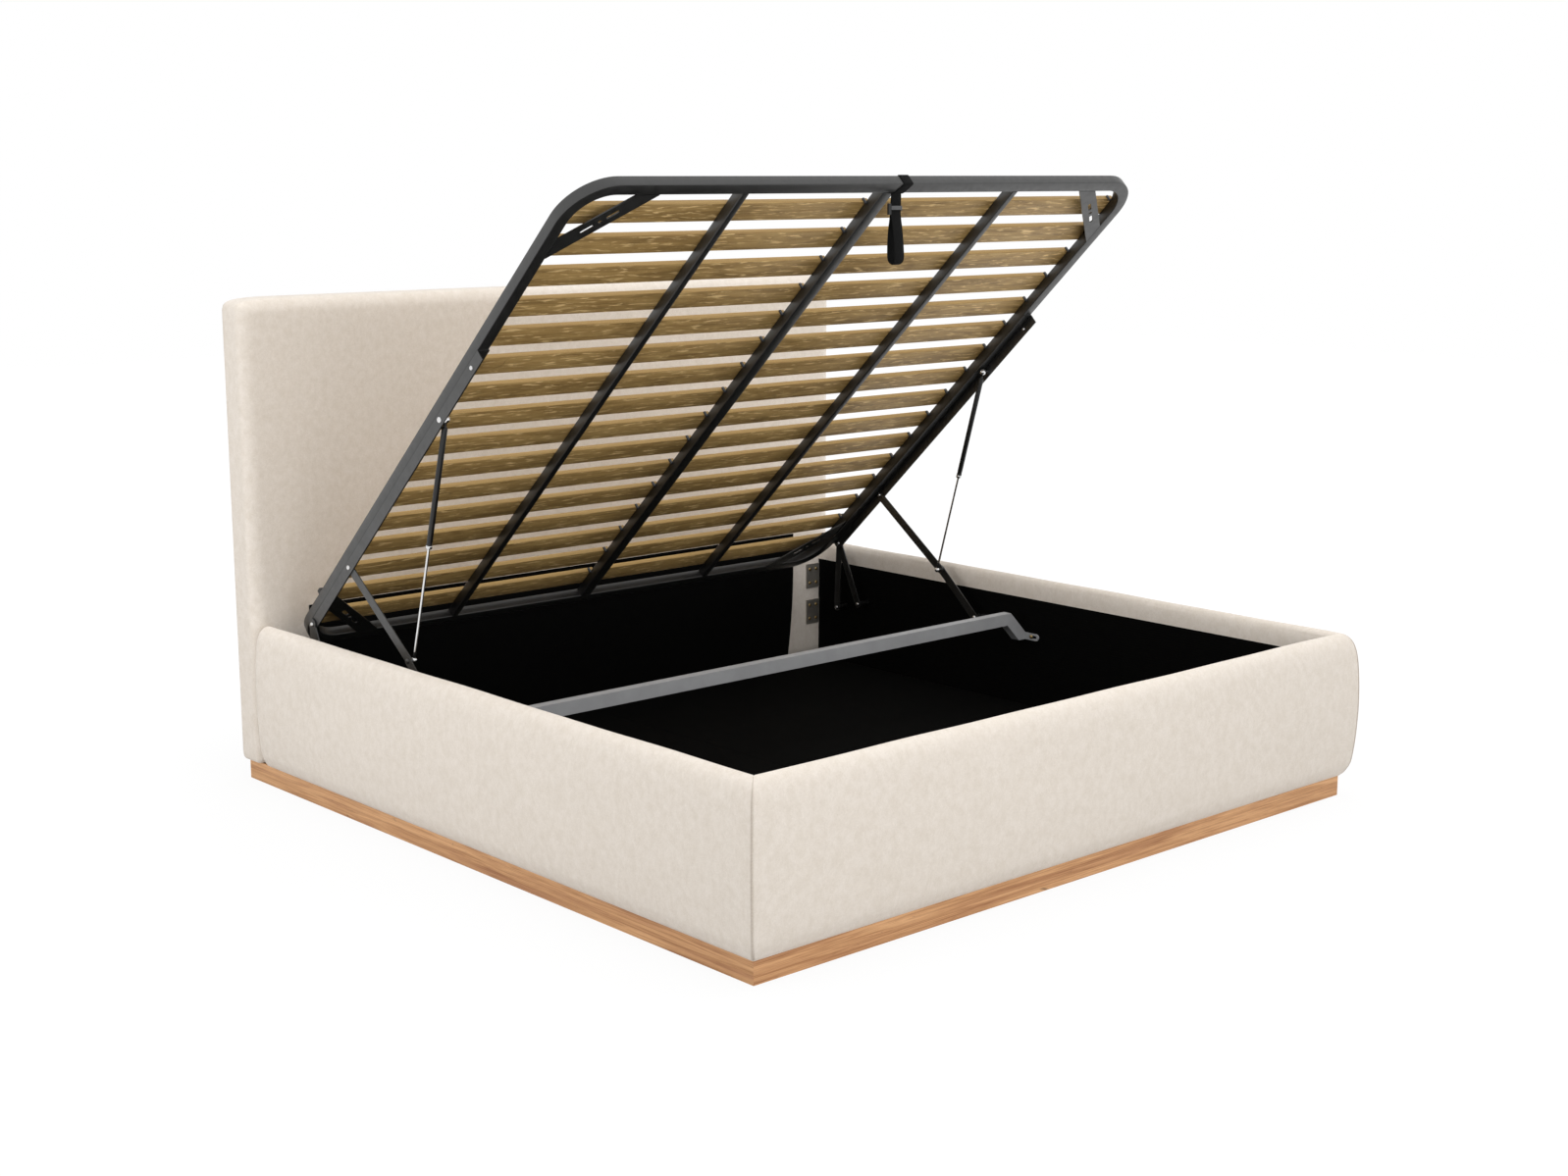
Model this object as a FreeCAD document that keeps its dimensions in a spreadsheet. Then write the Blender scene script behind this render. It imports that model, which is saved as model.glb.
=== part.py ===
import FreeCAD, Part
import math
import os

import Sketcher

# Gas lift storage bed with the lift frame open. Millimetres and degrees.
# X runs across the bed to its right side, Y from the foot to the head, Z up from the floor.

# Named sizes of the bed. They go into the sheet, and every other length is worked out from them.
SIZES = {
    # plinth and storage floor
    "plinth_half_width": 1055,
    "plinth_length": 2135,
    "plinth_height": 55,
    "plinth_board": 22,
    "floor_board": 6,
    "floor_seam": 1,
    "cleat_side": 20,
    "joist_thickness": 22,
    # rails round the storage box, measured outward from the plinth
    "rail_inset": 31,
    "lining_board": 3,
    "rail_board": 22,
    "rail_board_top": 412,
    "rail_top": 450,
    "lining_top": 388,
    "pad_foot_reach": 4,
    "pad_low_reach": 16,
    "pad_low_height": 71,
    "pad_side_reach": 23,
    "pad_side_height": 94,
    "rail_bulge": 33,
    "bulge_height": 249,
    "pad_shoulder_reach": 27,
    "pad_shoulder_height": 379,
    "pad_edge_reach": 19,
    "pad_edge_height": 427,
    "pad_crown_inset": 9,
    "pad_roll_width": 20,
    "pad_roll_height": 48,
    "pad_end_round": 26,
    "mitre_reach": 3,
    # headboard
    "head_front": 2040,
    "head_thickness": 115,
    "head_half_width": 1075,
    "head_top": 1334,
    "head_low_reach": 6,
    "head_low_round": 25,
    "head_shoulder_drop": 38,
    "head_shoulder_inset": 16,
    "head_shoulder_rise": 12,
    "head_fall_width": 119,
    "head_edge_round": 14,
    "core_half_width": 1049,
    "core_front_cover": 26,
    "core_thickness": 63,
    "core_top": 1306,
    "head_lining_half_width": 905,
    "head_lining_foot_half_width": 878,
    "head_lining_middle_half_width": 893,
    "head_lining_middle_height": 165,
    "head_lining_straight_height": 400,
    "head_lining_top": 486,
    "head_lining_board": 4,
    # steel plates at the head corners
    "corner_plate_inner": 966,
    "corner_plate_thickness": 3.5,
    "corner_plate_upper_foot": 292,
    "corner_plate_lower_foot": 170,
    "corner_plate_height": 82,
    "plate_screw_side": 15,
    "plate_screw_end": 18,
    "plate_screw_head": 5.5,
    "plate_screw_cap": 3,
    # long screws in the foot corners of the rail boards
    "corner_screw_round": 3,
    "corner_screw_depth": 60,
    "corner_screw_foot": 130,
    "corner_screw_step": 200,
    # crossbar
    "crossbar_front": 1107,
    "crossbar_depth": 30,
    "crossbar_top": 350,
    "crossbar_height": 36,
    "crossbar_wall": 2,
    "crossbar_bend": 954,
    "crossbar_gap": 4,
    "lug_front": 1054,
    "lug_foot": 261,
    "lug_top": 282,
    "lug_thickness": 4,
    "lug_slot_front": 1066,
    "lug_slot_back": 1083,
    "lug_slot_round": 4.3,
    "lug_screw_head": 6,
    "lug_screw_cap": 3.5,
    # lift frame
    "lift_angle": 43.2,
    "pivot_back": 1892,
    "pivot_height": 464,
    "tube_width": 34,
    "tube_height": 28,
    "tube_wall": 2,
    "tube_rise": 13.5,
    "frame_half_width": 977,
    "frame_foot": 1698,
    "frame_head": 134,
    "frame_bend": 125,
    "frame_joint": 600,
    "middle_bar_width": 36,
    "long_bar_width": 20,
    "long_bar_inset": 470,
    "slat_first": 1602,
    "slat_pitch": 107.4,
    "slat_width": 62,
    "slat_thickness": 14,
    "slat_outer": 952,
    "slat_inner": 3,
    "clip_reach": 6,
    "clip_depth": 5,
    "clip_drop": 6,
    "clip_height": 16,
    "clip_bend_inset": 12,
    "gusset_thickness": 3.5,
    "gusset_side_near": 176,
    "gusset_side_far": 242,
    "gusset_end_near": 147,
    "gusset_end_far": 214,
    "gusset_hole": 5,
    "gusset_slot_start": 22,
    "gusset_slot_end": 47,
    "peg_inset": 14,
    "peg_start": 82,
    "peg_length": 14,
    "peg_width": 22,
    "peg_height": 12,
    # angle irons and what is riveted to them
    "iron": 3,
    "iron_drop": 16,
    "iron_foot": 1137,
    "rivet_round": 3.5,
    "rivet_head": 6,
    "rivet_cap": 4,
    "rivet_foot": 1087,
    "pivot_round": 4.5,
    "pivot_head": 6.8,
    "pivot_cap": 4.5,
    "running_gap": 0.05,
    "side_gap": 0.3,
    # side brackets of the head pivots
    "bracket": 4,
    "bracket_leg_round": 12,
    "bracket_eye_round": 17,
    "bracket_rear": 1902,
    "bracket_rear_height": 247,
    "bracket_front": 1803,
    "bracket_front_height": 272,
    "bracket_spacer_round": 8,
    "bolt_round": 4,
    "bolt_head": 6,
    "bolt_cap": 3.5,
    "bolt_depth": 19,
    # stays
    "stay_half_width": 13,
    "stay_end_reach": 9,
    "stay_pivot_along": 266,
    "knee_back": 1424,
    "knee_height": 441,
    "post_back": 1277.6,
    "post_height": 308.3,
    "post_round": 9,
    # gas springs
    "spring_centre": 958,
    "spring_pivot_along": 889,
    "eye_round": 10,
    "rod_eye_round": 8,
    "eye_width": 14,
    "neck_round": 4,
    "cylinder_start": 22,
    "cylinder_end": 345,
    "cylinder_round": 7.5,
    "cylinder_bore": 6,
    "cylinder_wall": 6,
    "guide_length": 12,
    "rod_round": 3,
    "piston_length": 10,
    "piston_gap": 0.1,
    # strap handle on the foot tube
    "strap_centre": 46,
    "strap_width": 33,
    "webbing": 2,
    "buckle_width": 42,
    "buckle_height": 21,
    "buckle_thickness": 8,
    "buckle_drop": 24,
    "loop_centre": 27,
    "loop_length": 175,
    "loop_half_depth": 11.5,
}


class Size:
    """A length or a share: its number and the sheet formula that gives it."""

    def __init__(self, number, text):
        self.number = float(number)
        self.text = text

    @staticmethod
    def of(other):
        if isinstance(other, Size):
            return other
        return Size(other, repr(other))

    def __add__(self, other):
        other = Size.of(other)
        return Size(self.number + other.number, f"({self.text} + {other.text})")

    def __radd__(self, other):
        return Size.of(other) + self

    def __sub__(self, other):
        other = Size.of(other)
        return Size(self.number - other.number, f"({self.text} - {other.text})")

    def __rsub__(self, other):
        return Size.of(other) - self

    def __mul__(self, other):
        other = Size.of(other)
        return Size(self.number * other.number, f"({self.text} * {other.text})")

    def __rmul__(self, other):
        return Size.of(other) * self

    def __truediv__(self, other):
        other = Size.of(other)
        return Size(self.number / other.number, f"({self.text} / {other.text})")

    def __neg__(self):
        return Size(-self.number, f"(0 - {self.text})")

    def root(self):
        return Size(math.sqrt(self.number), f"sqrt({self.text})")


ZERO = Size(0, "0")


class Sizes:
    """The named sizes, each an attribute, kept in the sheet."""

    def __init__(self, doc, table):
        sheet = doc.addObject("Spreadsheet::Sheet", "Sizes")
        for row, (name, number) in enumerate(table.items(), start=1):
            sheet.set(f"A{row}", name)
            sheet.set(f"B{row}", str(number))
            sheet.setAlias(f"B{row}", name)
            setattr(self, name, Size(number, f"Sizes.{name}"))


class Through:
    """A point on the arc between the two corners beside it."""

    def __init__(self, u, v):
        self.u = Size.of(u)
        self.v = Size.of(v)


class Circle:
    """A full circle of an outline."""

    def __init__(self, u, v, radius):
        self.u = Size.of(u)
        self.v = Size.of(v)
        self.radius = radius


class Drawing:
    """Outlines on one plane of a piece, every corner bound to the sheet."""

    def __init__(self, body, plane, outlines, level):
        self.sketch = body.newObject("Sketcher::SketchObject", "Outline")
        origin = [part for part in body.Origin.OriginFeatures if part.Role == plane][0]
        self.sketch.AttachmentSupport = [(origin, "")]
        self.sketch.MapMode = "FlatFace"
        self.sketch.AttachmentOffset = FreeCAD.Placement(
            FreeCAD.Vector(0, 0, level.number), FreeCAD.Rotation()
        )
        self.sketch.setExpression("AttachmentOffset.Base.z", level.text)
        self.constraints = []
        self.formulas = []
        for outline in outlines:
            if isinstance(outline, Circle):
                self.circle(outline)
            else:
                self.loop(outline)
        self.sketch.addConstraint(self.constraints)
        for index, text in self.formulas:
            self.sketch.setExpression(f"Constraints[{index}]", text)

    def fix(self, geometry, point, u, v):
        for kind, size in (("DistanceX", u), ("DistanceY", v)):
            self.formulas.append((len(self.constraints), size.text))
            self.constraints.append(
                Sketcher.Constraint(kind, -1, 1, geometry, point, size.number)
            )

    def circle(self, outline):
        centre = FreeCAD.Vector(outline.u.number, outline.v.number, 0)
        shape = Part.Circle(centre, FreeCAD.Vector(0, 0, 1), outline.radius.number)
        geometry = self.sketch.addGeometry(shape)
        self.fix(geometry, 3, outline.u, outline.v)
        self.formulas.append((len(self.constraints), outline.radius.text))
        self.constraints.append(
            Sketcher.Constraint("Radius", geometry, outline.radius.number)
        )

    def loop(self, outline):
        corners = []
        for point in outline:
            if isinstance(point, Through):
                corners[-1][1] = point
            else:
                corners.append([(Size.of(point[0]), Size.of(point[1])), None])
        joints = []
        for number, (start, through) in enumerate(corners):
            end = corners[(number + 1) % len(corners)][0]
            joints.append(self.stretch(start, through, end))
        for number, (geometry, first, last) in enumerate(joints):
            following = joints[(number + 1) % len(joints)]
            self.constraints.append(
                Sketcher.Constraint("Coincident", geometry, last, following[0], following[1])
            )
            self.fix(geometry, first, *corners[number][0])

    def stretch(self, start, through, end):
        first = FreeCAD.Vector(start[0].number, start[1].number, 0)
        last = FreeCAD.Vector(end[0].number, end[1].number, 0)
        if through is None:
            return self.sketch.addGeometry(Part.LineSegment(first, last)), 1, 2
        middle = FreeCAD.Vector(through.u.number, through.v.number, 0)
        arc = self.sketch.addGeometry(Part.ArcOfCircle(first, middle, last))
        mark = self.sketch.addGeometry(Part.Point(middle), True)
        self.fix(mark, 1, through.u, through.v)
        self.constraints.append(Sketcher.Constraint("PointOnObject", mark, 1, arc))
        if self.sketch.getPoint(arc, 1).distanceToPoint(first) < self.sketch.getPoint(
            arc, 2
        ).distanceToPoint(first):
            return arc, 1, 2
        return arc, 2, 1


class Piece:
    """One named piece, built up from straight stretches of outlines."""

    made = []

    def __init__(self, doc, label):
        self.doc = doc
        self.body = doc.addObject("PartDesign::Body", label)
        self.body.Label = label
        Piece.made.append(self)

    def stretch(self, kind, plane, outlines, start, length):
        start = Size.of(start)
        level = -(start + length) if plane == "XZ_Plane" else start
        drawing = Drawing(self.body, plane, outlines, level)
        feature = self.body.newObject(f"PartDesign::{kind}", kind)
        feature.Profile = drawing.sketch
        feature.Length = length.number
        feature.setExpression("Length", length.text)
        self.body.Tip = feature
        return feature

    def add(self, plane, outlines, start, length):
        self.stretch("Pad", plane, outlines, start, length)
        return self

    def cut(self, plane, outlines, start, length):
        feature = self.stretch("Pocket", plane, outlines, start, length)
        feature.Reversed = True
        return self

    def place(self, y, z, turn):
        """Move the piece to a pivot and turn it about the bed's cross direction."""
        y = Size.of(y)
        z = Size.of(z)
        self.body.setExpression(
            "Placement",
            f"placement(vector(0; {y.text}; {z.text}); rotation(vector(1; 0; 0); {turn}))",
        )
        return self


ACROSS = "XZ_Plane"
ALONG = "YZ_Plane"
PLAN = "XY_Plane"
DIAGONAL_SHARE = math.sqrt(0.5)
ROUND_SHARE = 1 - DIAGONAL_SHARE
# Where the padding of the headboard's shoulder passes, as shares of its fall and its inset.
SHOULDER_INSET_SHARE = 0.25
SHOULDER_DROP_SHARE = 0.6
CROWN_INSET_SHARE = 0.5
CROWN_DROP_SHARE = 0.25
JOIST_SHARES = (0.25, 0.5, 0.75)
SLATS = 16
CORNER_SCREWS = 2
SCREW_SIDES = 8


def box(u0, v0, u1, v1):
    return [(u0, v0), (u1, v0), (u1, v1), (u0, v1)]


def mirrored(sign, outline):
    """The outline on the right (1) or the left (-1) side of the bed."""
    turned = []
    for point in outline:
        if isinstance(point, Through):
            turned.append(Through(point.u * sign, point.v))
        elif isinstance(point, Circle):
            turned.append(Circle(point.u * sign, point.v, point.radius))
        else:
            turned.append((Size.of(point[0]) * sign, point[1]))
    return turned


def side_start(sign, inner, thickness):
    """Where a layer between inner and inner + thickness starts on one side."""
    return Size.of(inner) if sign > 0 else -(inner + thickness)


def slot(u0, v0, u1, v1, radius):
    """A bar or slot with round ends from one centre to the other."""
    u0, v0, u1, v1 = Size.of(u0), Size.of(v0), Size.of(u1), Size.of(v1)
    length = ((u1 - u0) * (u1 - u0) + (v1 - v0) * (v1 - v0)).root()
    du = (u1 - u0) * radius / length
    dv = (v1 - v0) * radius / length
    return [
        (u0 + dv, v0 - du),
        (u1 + dv, v1 - du),
        Through(u1 + du, v1 + dv),
        (u1 - dv, v1 + du),
        (u0 - dv, v0 + du),
        Through(u0 - du, v0 - dv),
    ]


def many_sided(u, v, radius, sides):
    """A small head with flat sides, its corners on a circle."""
    corners = []
    for number in range(sides):
        turn = 2 * math.pi * number / sides
        corners.append((u + radius * math.cos(turn), v + radius * math.sin(turn)))
    return corners


def corner_cut(u, v, du, dv, radius):
    """What is taken off a square corner to round it. du and dv point outward."""
    return [
        (u - radius * du, v),
        Through(u - radius * ROUND_SHARE * du, v - radius * ROUND_SHARE * dv),
        (u, v - radius * dv),
        (u + radius * du, v - radius * dv),
        (u + radius * du, v + radius * dv),
        (u - radius * du, v + radius * dv),
    ]


class Bed:
    """The bed's sizes and its pieces, group by group."""

    def __init__(self, doc, s):
        self.doc = doc
        self.s = s
        # The foot end of the plinth, with the whole bed centred on the origin.
        self.foot = (s.rail_bulge - s.head_front - s.head_thickness) / 2
        self.inner = s.plinth_half_width - s.rail_inset
        self.board_inner = self.inner + s.lining_board
        self.board_outer = self.board_inner + s.rail_board
        self.front = self.y(s.head_front)
        self.deck = s.plinth_height
        self.plate = s.frame_half_width - s.iron
        self.bracket_inner = s.frame_half_width + s.side_gap
        self.lower_link = s.frame_half_width - s.iron
        self.upper_link = self.lower_link - s.side_gap - s.iron

    def y(self, distance):
        """A distance from the plinth's foot end as a place on the Y axis."""
        return self.foot + distance

    def piece(self, label):
        return Piece(self.doc, label)

    def plinth_and_floor(self):
        s = self.s
        half, board = s.plinth_half_width, s.plinth_board
        foot, head = self.y(ZERO), self.y(s.plinth_length)
        for label, edge, way in (("plinth_foot", foot, 1), ("plinth_head", head, -1)):
            outline = [
                (-half, edge),
                (half, edge),
                (half - board, edge + board * way),
                (board - half, edge + board * way),
            ]
            self.piece(label).add(PLAN, [outline], ZERO, s.plinth_height)
        for label, sign in (("plinth_left", -1), ("plinth_right", 1)):
            outline = [
                (half, foot),
                (half, head),
                (half - board, head - board),
                (half - board, foot + board),
            ]
            self.piece(label).add(PLAN, [mirrored(sign, outline)], ZERO, s.plinth_height)
        under = s.plinth_height - s.floor_board
        inside = half - board
        joists = []
        for share in JOIST_SHARES:
            middle = self.y(s.plinth_length * share)
            joists.append(
                box(-inside, middle - s.joist_thickness / 2, inside, middle + s.joist_thickness / 2)
            )
        floor_joists = self.piece("floor_joists").add(PLAN, joists, ZERO, under)
        cleats = []
        for sign in (-1, 1):
            cleats.append(
                mirrored(sign, box(inside - s.cleat_side, foot + board, inside, head - board))
            )
        self.piece("floor_cleats").add(PLAN, cleats, under - s.cleat_side, s.cleat_side)
        notches = []
        for sign in (-1, 1):
            notches.append(
                mirrored(sign, box(inside - s.cleat_side, foot + board, inside, head - board))
            )
        floor_joists.cut(PLAN, notches, under - s.cleat_side, s.cleat_side)
        for label, sign in (("floor_panel_left", -1), ("floor_panel_right", 1)):
            outline = box(s.floor_seam / 2, foot + board, inside, head - board)
            self.piece(label).add(PLAN, [mirrored(sign, outline)], under, s.floor_board)

    def pad_section(self):
        """The padding of a rail, as distance from the bed's middle and height."""
        s = self.s
        out = s.plinth_half_width
        crown = out - s.pad_crown_inset
        width, height = s.pad_roll_width, s.pad_roll_height
        return [
            (self.board_outer, self.deck),
            (out + s.pad_foot_reach, self.deck),
            Through(out + s.pad_low_reach, s.pad_low_height),
            (out + s.pad_side_reach, s.pad_side_height),
            Through(out + s.rail_bulge, s.bulge_height),
            (out + s.pad_shoulder_reach, s.pad_shoulder_height),
            Through(out + s.pad_edge_reach, s.pad_edge_height),
            (crown, s.rail_top),
            (self.inner + width, s.rail_top),
            Through(self.inner + width * ROUND_SHARE, s.rail_top - height * ROUND_SHARE),
            (self.inner, s.rail_top - height),
            (self.inner, s.lining_top),
            (self.board_inner, s.lining_top),
            (self.board_inner, s.rail_board_top),
            (self.board_outer, s.rail_board_top),
        ]

    def wall_holes(self):
        """Fastenings in a side wall: bracket bolts, stay post and crossbar screw."""
        s = self.s
        lug_middle = (s.lug_foot + s.lug_top) / 2
        radius = s.bolt_round + s.running_gap
        return [
            Circle(self.y(s.bracket_rear), s.bracket_rear_height, radius),
            Circle(self.y(s.bracket_front), s.bracket_front_height, radius),
            Circle(self.y(s.post_back), s.post_height, radius),
            Circle(self.y(s.lug_slot_back), lug_middle, radius),
        ]

    def corner_screw_heights(self):
        s = self.s
        return [s.corner_screw_foot + s.corner_screw_step * n for n in range(CORNER_SCREWS)]

    def rails(self):
        s = self.s
        out = s.plinth_half_width + s.rail_bulge
        foot_face = self.y(ZERO) - s.rail_bulge
        mitre_inner = self.inner - s.mitre_reach
        mitre_end = self.y(s.rail_inset + s.mitre_reach)
        mitre = [
            (mitre_inner, mitre_end),
            (out, foot_face),
            (mitre_inner, foot_face),
        ]
        board_edge = self.y(s.rail_inset - s.lining_board)
        screw_middle = self.board_inner + s.rail_board / 2
        for side, sign in (("left", -1), ("right", 1)):
            length = self.front - foot_face
            pad = self.piece(f"rail_pad_{side}")
            pad.add(ACROSS, [mirrored(sign, self.pad_section())], foot_face, length)
            pad.cut(PLAN, [mirrored(sign, mitre)], ZERO, s.rail_top)
            end = corner_cut(out, self.front, 1, 1, s.pad_end_round)
            pad.cut(PLAN, [mirrored(sign, end)], ZERO, s.rail_top)
            board = self.piece(f"rail_board_{side}")
            outline = box(board_edge, self.deck, self.front, s.rail_board_top)
            start = side_start(sign, self.board_inner, s.rail_board)
            board.add(ALONG, [outline], start, s.rail_board)
            depth = s.bolt_depth - s.lining_board
            board.cut(ALONG, self.wall_holes(), side_start(sign, self.board_inner, depth), depth)
            holes = []
            for height in self.corner_screw_heights():
                holes.append(Circle(screw_middle * sign, height, s.corner_screw_round))
            board.cut(ACROSS, holes, board_edge, s.corner_screw_depth - s.rail_board)
            lining = self.piece(f"lining_{side}")
            outline = box(board_edge, self.deck, self.front, s.lining_top)
            start = side_start(sign, self.inner, s.lining_board)
            lining.add(ALONG, [outline], start, s.lining_board)
            lining.cut(ALONG, self.wall_holes(), start, s.lining_board)
        section = []
        for point in self.pad_section():
            if isinstance(point, Through):
                section.append(Through(self.foot + s.plinth_half_width - point.u, point.v))
            else:
                section.append((self.foot + s.plinth_half_width - point[0], point[1]))
        pad = self.piece("rail_pad_foot")
        pad.add(ALONG, [section], -out, out * 2)
        mitres = []
        for sign in (-1, 1):
            outline = [
                (mitre_inner, mitre_end),
                (out, foot_face),
                (out, mitre_end),
            ]
            mitres.append(mirrored(sign, outline))
        pad.cut(PLAN, mitres, ZERO, s.rail_top)
        front = self.y(s.rail_inset - s.lining_board - s.rail_board)
        board = self.piece("rail_board_foot")
        outline = box(-self.board_outer, self.deck, self.board_outer, s.rail_board_top)
        board.add(ACROSS, [outline], front, s.rail_board)
        holes = []
        for sign in (-1, 1):
            for height in self.corner_screw_heights():
                holes.append(Circle(screw_middle * sign, height, s.corner_screw_round))
        board.cut(ACROSS, holes, front, s.rail_board)
        self.piece("foot_corner_screws").add(ACROSS, holes, front, s.corner_screw_depth)
        lining = self.piece("lining_foot")
        outline = box(-self.inner, self.deck, self.inner, s.lining_top)
        lining.add(ACROSS, [outline], board_edge, s.lining_board)

    def plate_screws(self, foot):
        """The places of the four screws of the corner plate that starts at a height."""
        s = self.s
        places = []
        for x in (s.corner_plate_inner + s.plate_screw_side, self.inner - s.plate_screw_side):
            for z in (foot + s.plate_screw_end, foot + s.corner_plate_height - s.plate_screw_end):
                places.append((x, z))
        return places

    def headboard(self):
        s = self.s
        half = s.head_half_width
        top = s.head_top
        low = s.plinth_half_width + s.head_low_reach
        depth = s.head_thickness
        shoulder_inset = s.head_shoulder_inset * SHOULDER_INSET_SHARE
        shoulder_drop = s.head_shoulder_drop * SHOULDER_DROP_SHARE
        crown_inset = s.head_fall_width * CROWN_INSET_SHARE
        crown_drop = s.head_shoulder_rise * CROWN_DROP_SHARE
        outline = [
            (-low, self.deck),
            (low, self.deck),
            Through(
                half - (half - low) * ROUND_SHARE,
                self.deck + s.head_low_round * ROUND_SHARE,
            ),
            (half, self.deck + s.head_low_round),
            (half, top - s.head_shoulder_drop),
            Through(half - shoulder_inset, top - shoulder_drop),
            (half - s.head_shoulder_inset, top - s.head_shoulder_rise),
            Through(half - crown_inset, top - crown_drop),
            (half - s.head_fall_width, top),
            (s.head_fall_width - half, top),
            Through(crown_inset - half, top - crown_drop),
            (s.head_shoulder_inset - half, top - s.head_shoulder_rise),
            Through(shoulder_inset - half, top - shoulder_drop),
            (-half, top - s.head_shoulder_drop),
            (-half, self.deck + s.head_low_round),
            Through(
                (half - low) * ROUND_SHARE - half,
                self.deck + s.head_low_round * ROUND_SHARE,
            ),
        ]
        pad = self.piece("headboard_pad")
        pad.add(ACROSS, [outline], self.front, depth)
        edge = s.head_edge_round
        rounds = [
            corner_cut(self.front, top, -1, 1, edge),
            corner_cut(self.front + depth, top, 1, 1, edge),
            corner_cut(self.front + depth, self.deck, 1, -1, edge),
        ]
        pad.cut(ALONG, rounds, -half, half * 2)
        core_front = self.front + s.core_front_cover
        core = box(-s.core_half_width, self.deck, s.core_half_width, s.core_top)
        pad.cut(ACROSS, [core], core_front, s.core_thickness)
        self.piece("headboard_core").add(ACROSS, [core], core_front, s.core_thickness)
        plates = self.piece("corner_plates")
        for sign in (-1, 1):
            for foot in (s.corner_plate_lower_foot, s.corner_plate_upper_foot):
                plate = box(s.corner_plate_inner, foot, self.inner, foot + s.corner_plate_height)
                plates.add(
                    ACROSS,
                    [mirrored(sign, plate)],
                    self.front - s.corner_plate_thickness,
                    s.corner_plate_thickness,
                )
        face = self.front - s.corner_plate_thickness - s.plate_screw_cap
        screws = self.piece("corner_plate_screws")
        for sign in (-1, 1):
            for foot in (s.corner_plate_lower_foot, s.corner_plate_upper_foot):
                heads = []
                for x, z in self.plate_screws(foot):
                    heads.append(many_sided(x * sign, z, s.plate_screw_head, SCREW_SIDES))
                screws.add(ACROSS, heads, face, s.plate_screw_cap)
        wide, narrow = s.head_lining_half_width, s.head_lining_foot_half_width
        middle = (s.head_lining_middle_half_width, s.head_lining_middle_height)
        panel = [
            (-narrow, self.deck),
            (narrow, self.deck),
            Through(*middle),
            (wide, s.head_lining_straight_height),
            (wide, s.head_lining_top),
            (-wide, s.head_lining_top),
            (-wide, s.head_lining_straight_height),
            Through(-middle[0], middle[1]),
        ]
        board = s.head_lining_board
        self.piece("lining_head").add(ACROSS, [panel], self.front - board, board)

    def crossbar(self):
        s = self.s
        top, wall = s.crossbar_top, s.crossbar_wall
        foot = top - s.crossbar_height
        end = self.inner - s.crossbar_gap
        tan_eighth = math.tan(math.pi / 8)

        def outline(inset):
            bend = s.crossbar_bend - inset * tan_eighth
            under = s.crossbar_bend - (s.crossbar_height - inset) * tan_eighth
            upper, lower = top - inset, foot + inset
            low = s.lug_foot + inset
            tip = under + lower - low
            return [
                (-bend, upper),
                (bend, upper),
                (end, upper - (end - bend)),
                (end, low),
                (tip, low),
                (under, lower),
                (-under, lower),
                (-tip, low),
                (-end, low),
                (-end, upper - (end - bend)),
            ]

        front = self.y(s.crossbar_front)
        bar = self.piece("crossbar")
        bar.add(ACROSS, [outline(ZERO)], front, s.crossbar_depth)
        bar.cut(ACROSS, [outline(wall)], front + wall, s.crossbar_depth - wall * 2)
        back = self.y(s.crossbar_front) + s.crossbar_depth
        middle = (s.lug_foot + s.lug_top) / 2
        lug_start = self.y(s.lug_front) + (s.lug_top - s.lug_foot) / 2
        lug = [
            (lug_start, s.lug_foot),
            (back, s.lug_foot),
            (back, s.lug_top),
            (lug_start, s.lug_top),
            Through(self.y(s.lug_front), middle),
        ]
        gap = slot(
            self.y(s.lug_slot_front), middle, self.y(s.lug_slot_back), middle, s.lug_slot_round
        )
        head = self.piece("crossbar_screws")
        place = [self.y(s.lug_slot_back), middle]
        for sign in (-1, 1):
            start = side_start(sign, end, s.lug_thickness)
            bar.add(ALONG, [lug], start, s.lug_thickness)
            bar.cut(ALONG, [gap], start, s.lug_thickness)
            cap_start = side_start(sign, end - s.lug_screw_cap, s.lug_screw_cap)
            head.add(ALONG, [Circle(*place, s.lug_screw_head)], cap_start, s.lug_screw_cap)
            reach = s.lug_thickness + s.bolt_depth
            head.add(ALONG, [Circle(*place, s.bolt_round)], side_start(sign, end, reach), reach)

    def lift(self, piece):
        """Hang a piece of the lift frame on the head pivot at the open angle."""
        s = self.s
        return piece.place(self.y(s.pivot_back), s.pivot_height, f"0 - {s.lift_angle.text}")

    def bow_outline(self, inset, far, near, way):
        """A U of tube in plan: far end, open end, and which way the far end points."""
        s = self.s
        half = s.frame_half_width - inset
        hollow = s.frame_half_width - s.tube_width + inset
        bend = s.frame_bend - inset
        tight = s.frame_bend - s.tube_width + inset
        tip = far - inset
        mouth = far - s.tube_width + inset
        return [
            (half, near * way),
            (half, (tip - bend) * way),
            Through(half - bend * ROUND_SHARE, (tip - bend * ROUND_SHARE) * way),
            (half - bend, tip * way),
            (bend - half, tip * way),
            Through(bend * ROUND_SHARE - half, (tip - bend * ROUND_SHARE) * way),
            (-half, (tip - bend) * way),
            (-half, near * way),
            (-hollow, near * way),
            (-hollow, (mouth - tight) * way),
            Through(tight * ROUND_SHARE - hollow, (mouth - tight * ROUND_SHARE) * way),
            (tight - hollow, mouth * way),
            (hollow - tight, mouth * way),
            Through(hollow - tight * ROUND_SHARE, (mouth - tight * ROUND_SHARE) * way),
            (hollow, (mouth - tight) * way),
            (hollow, near * way),
        ]

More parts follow.
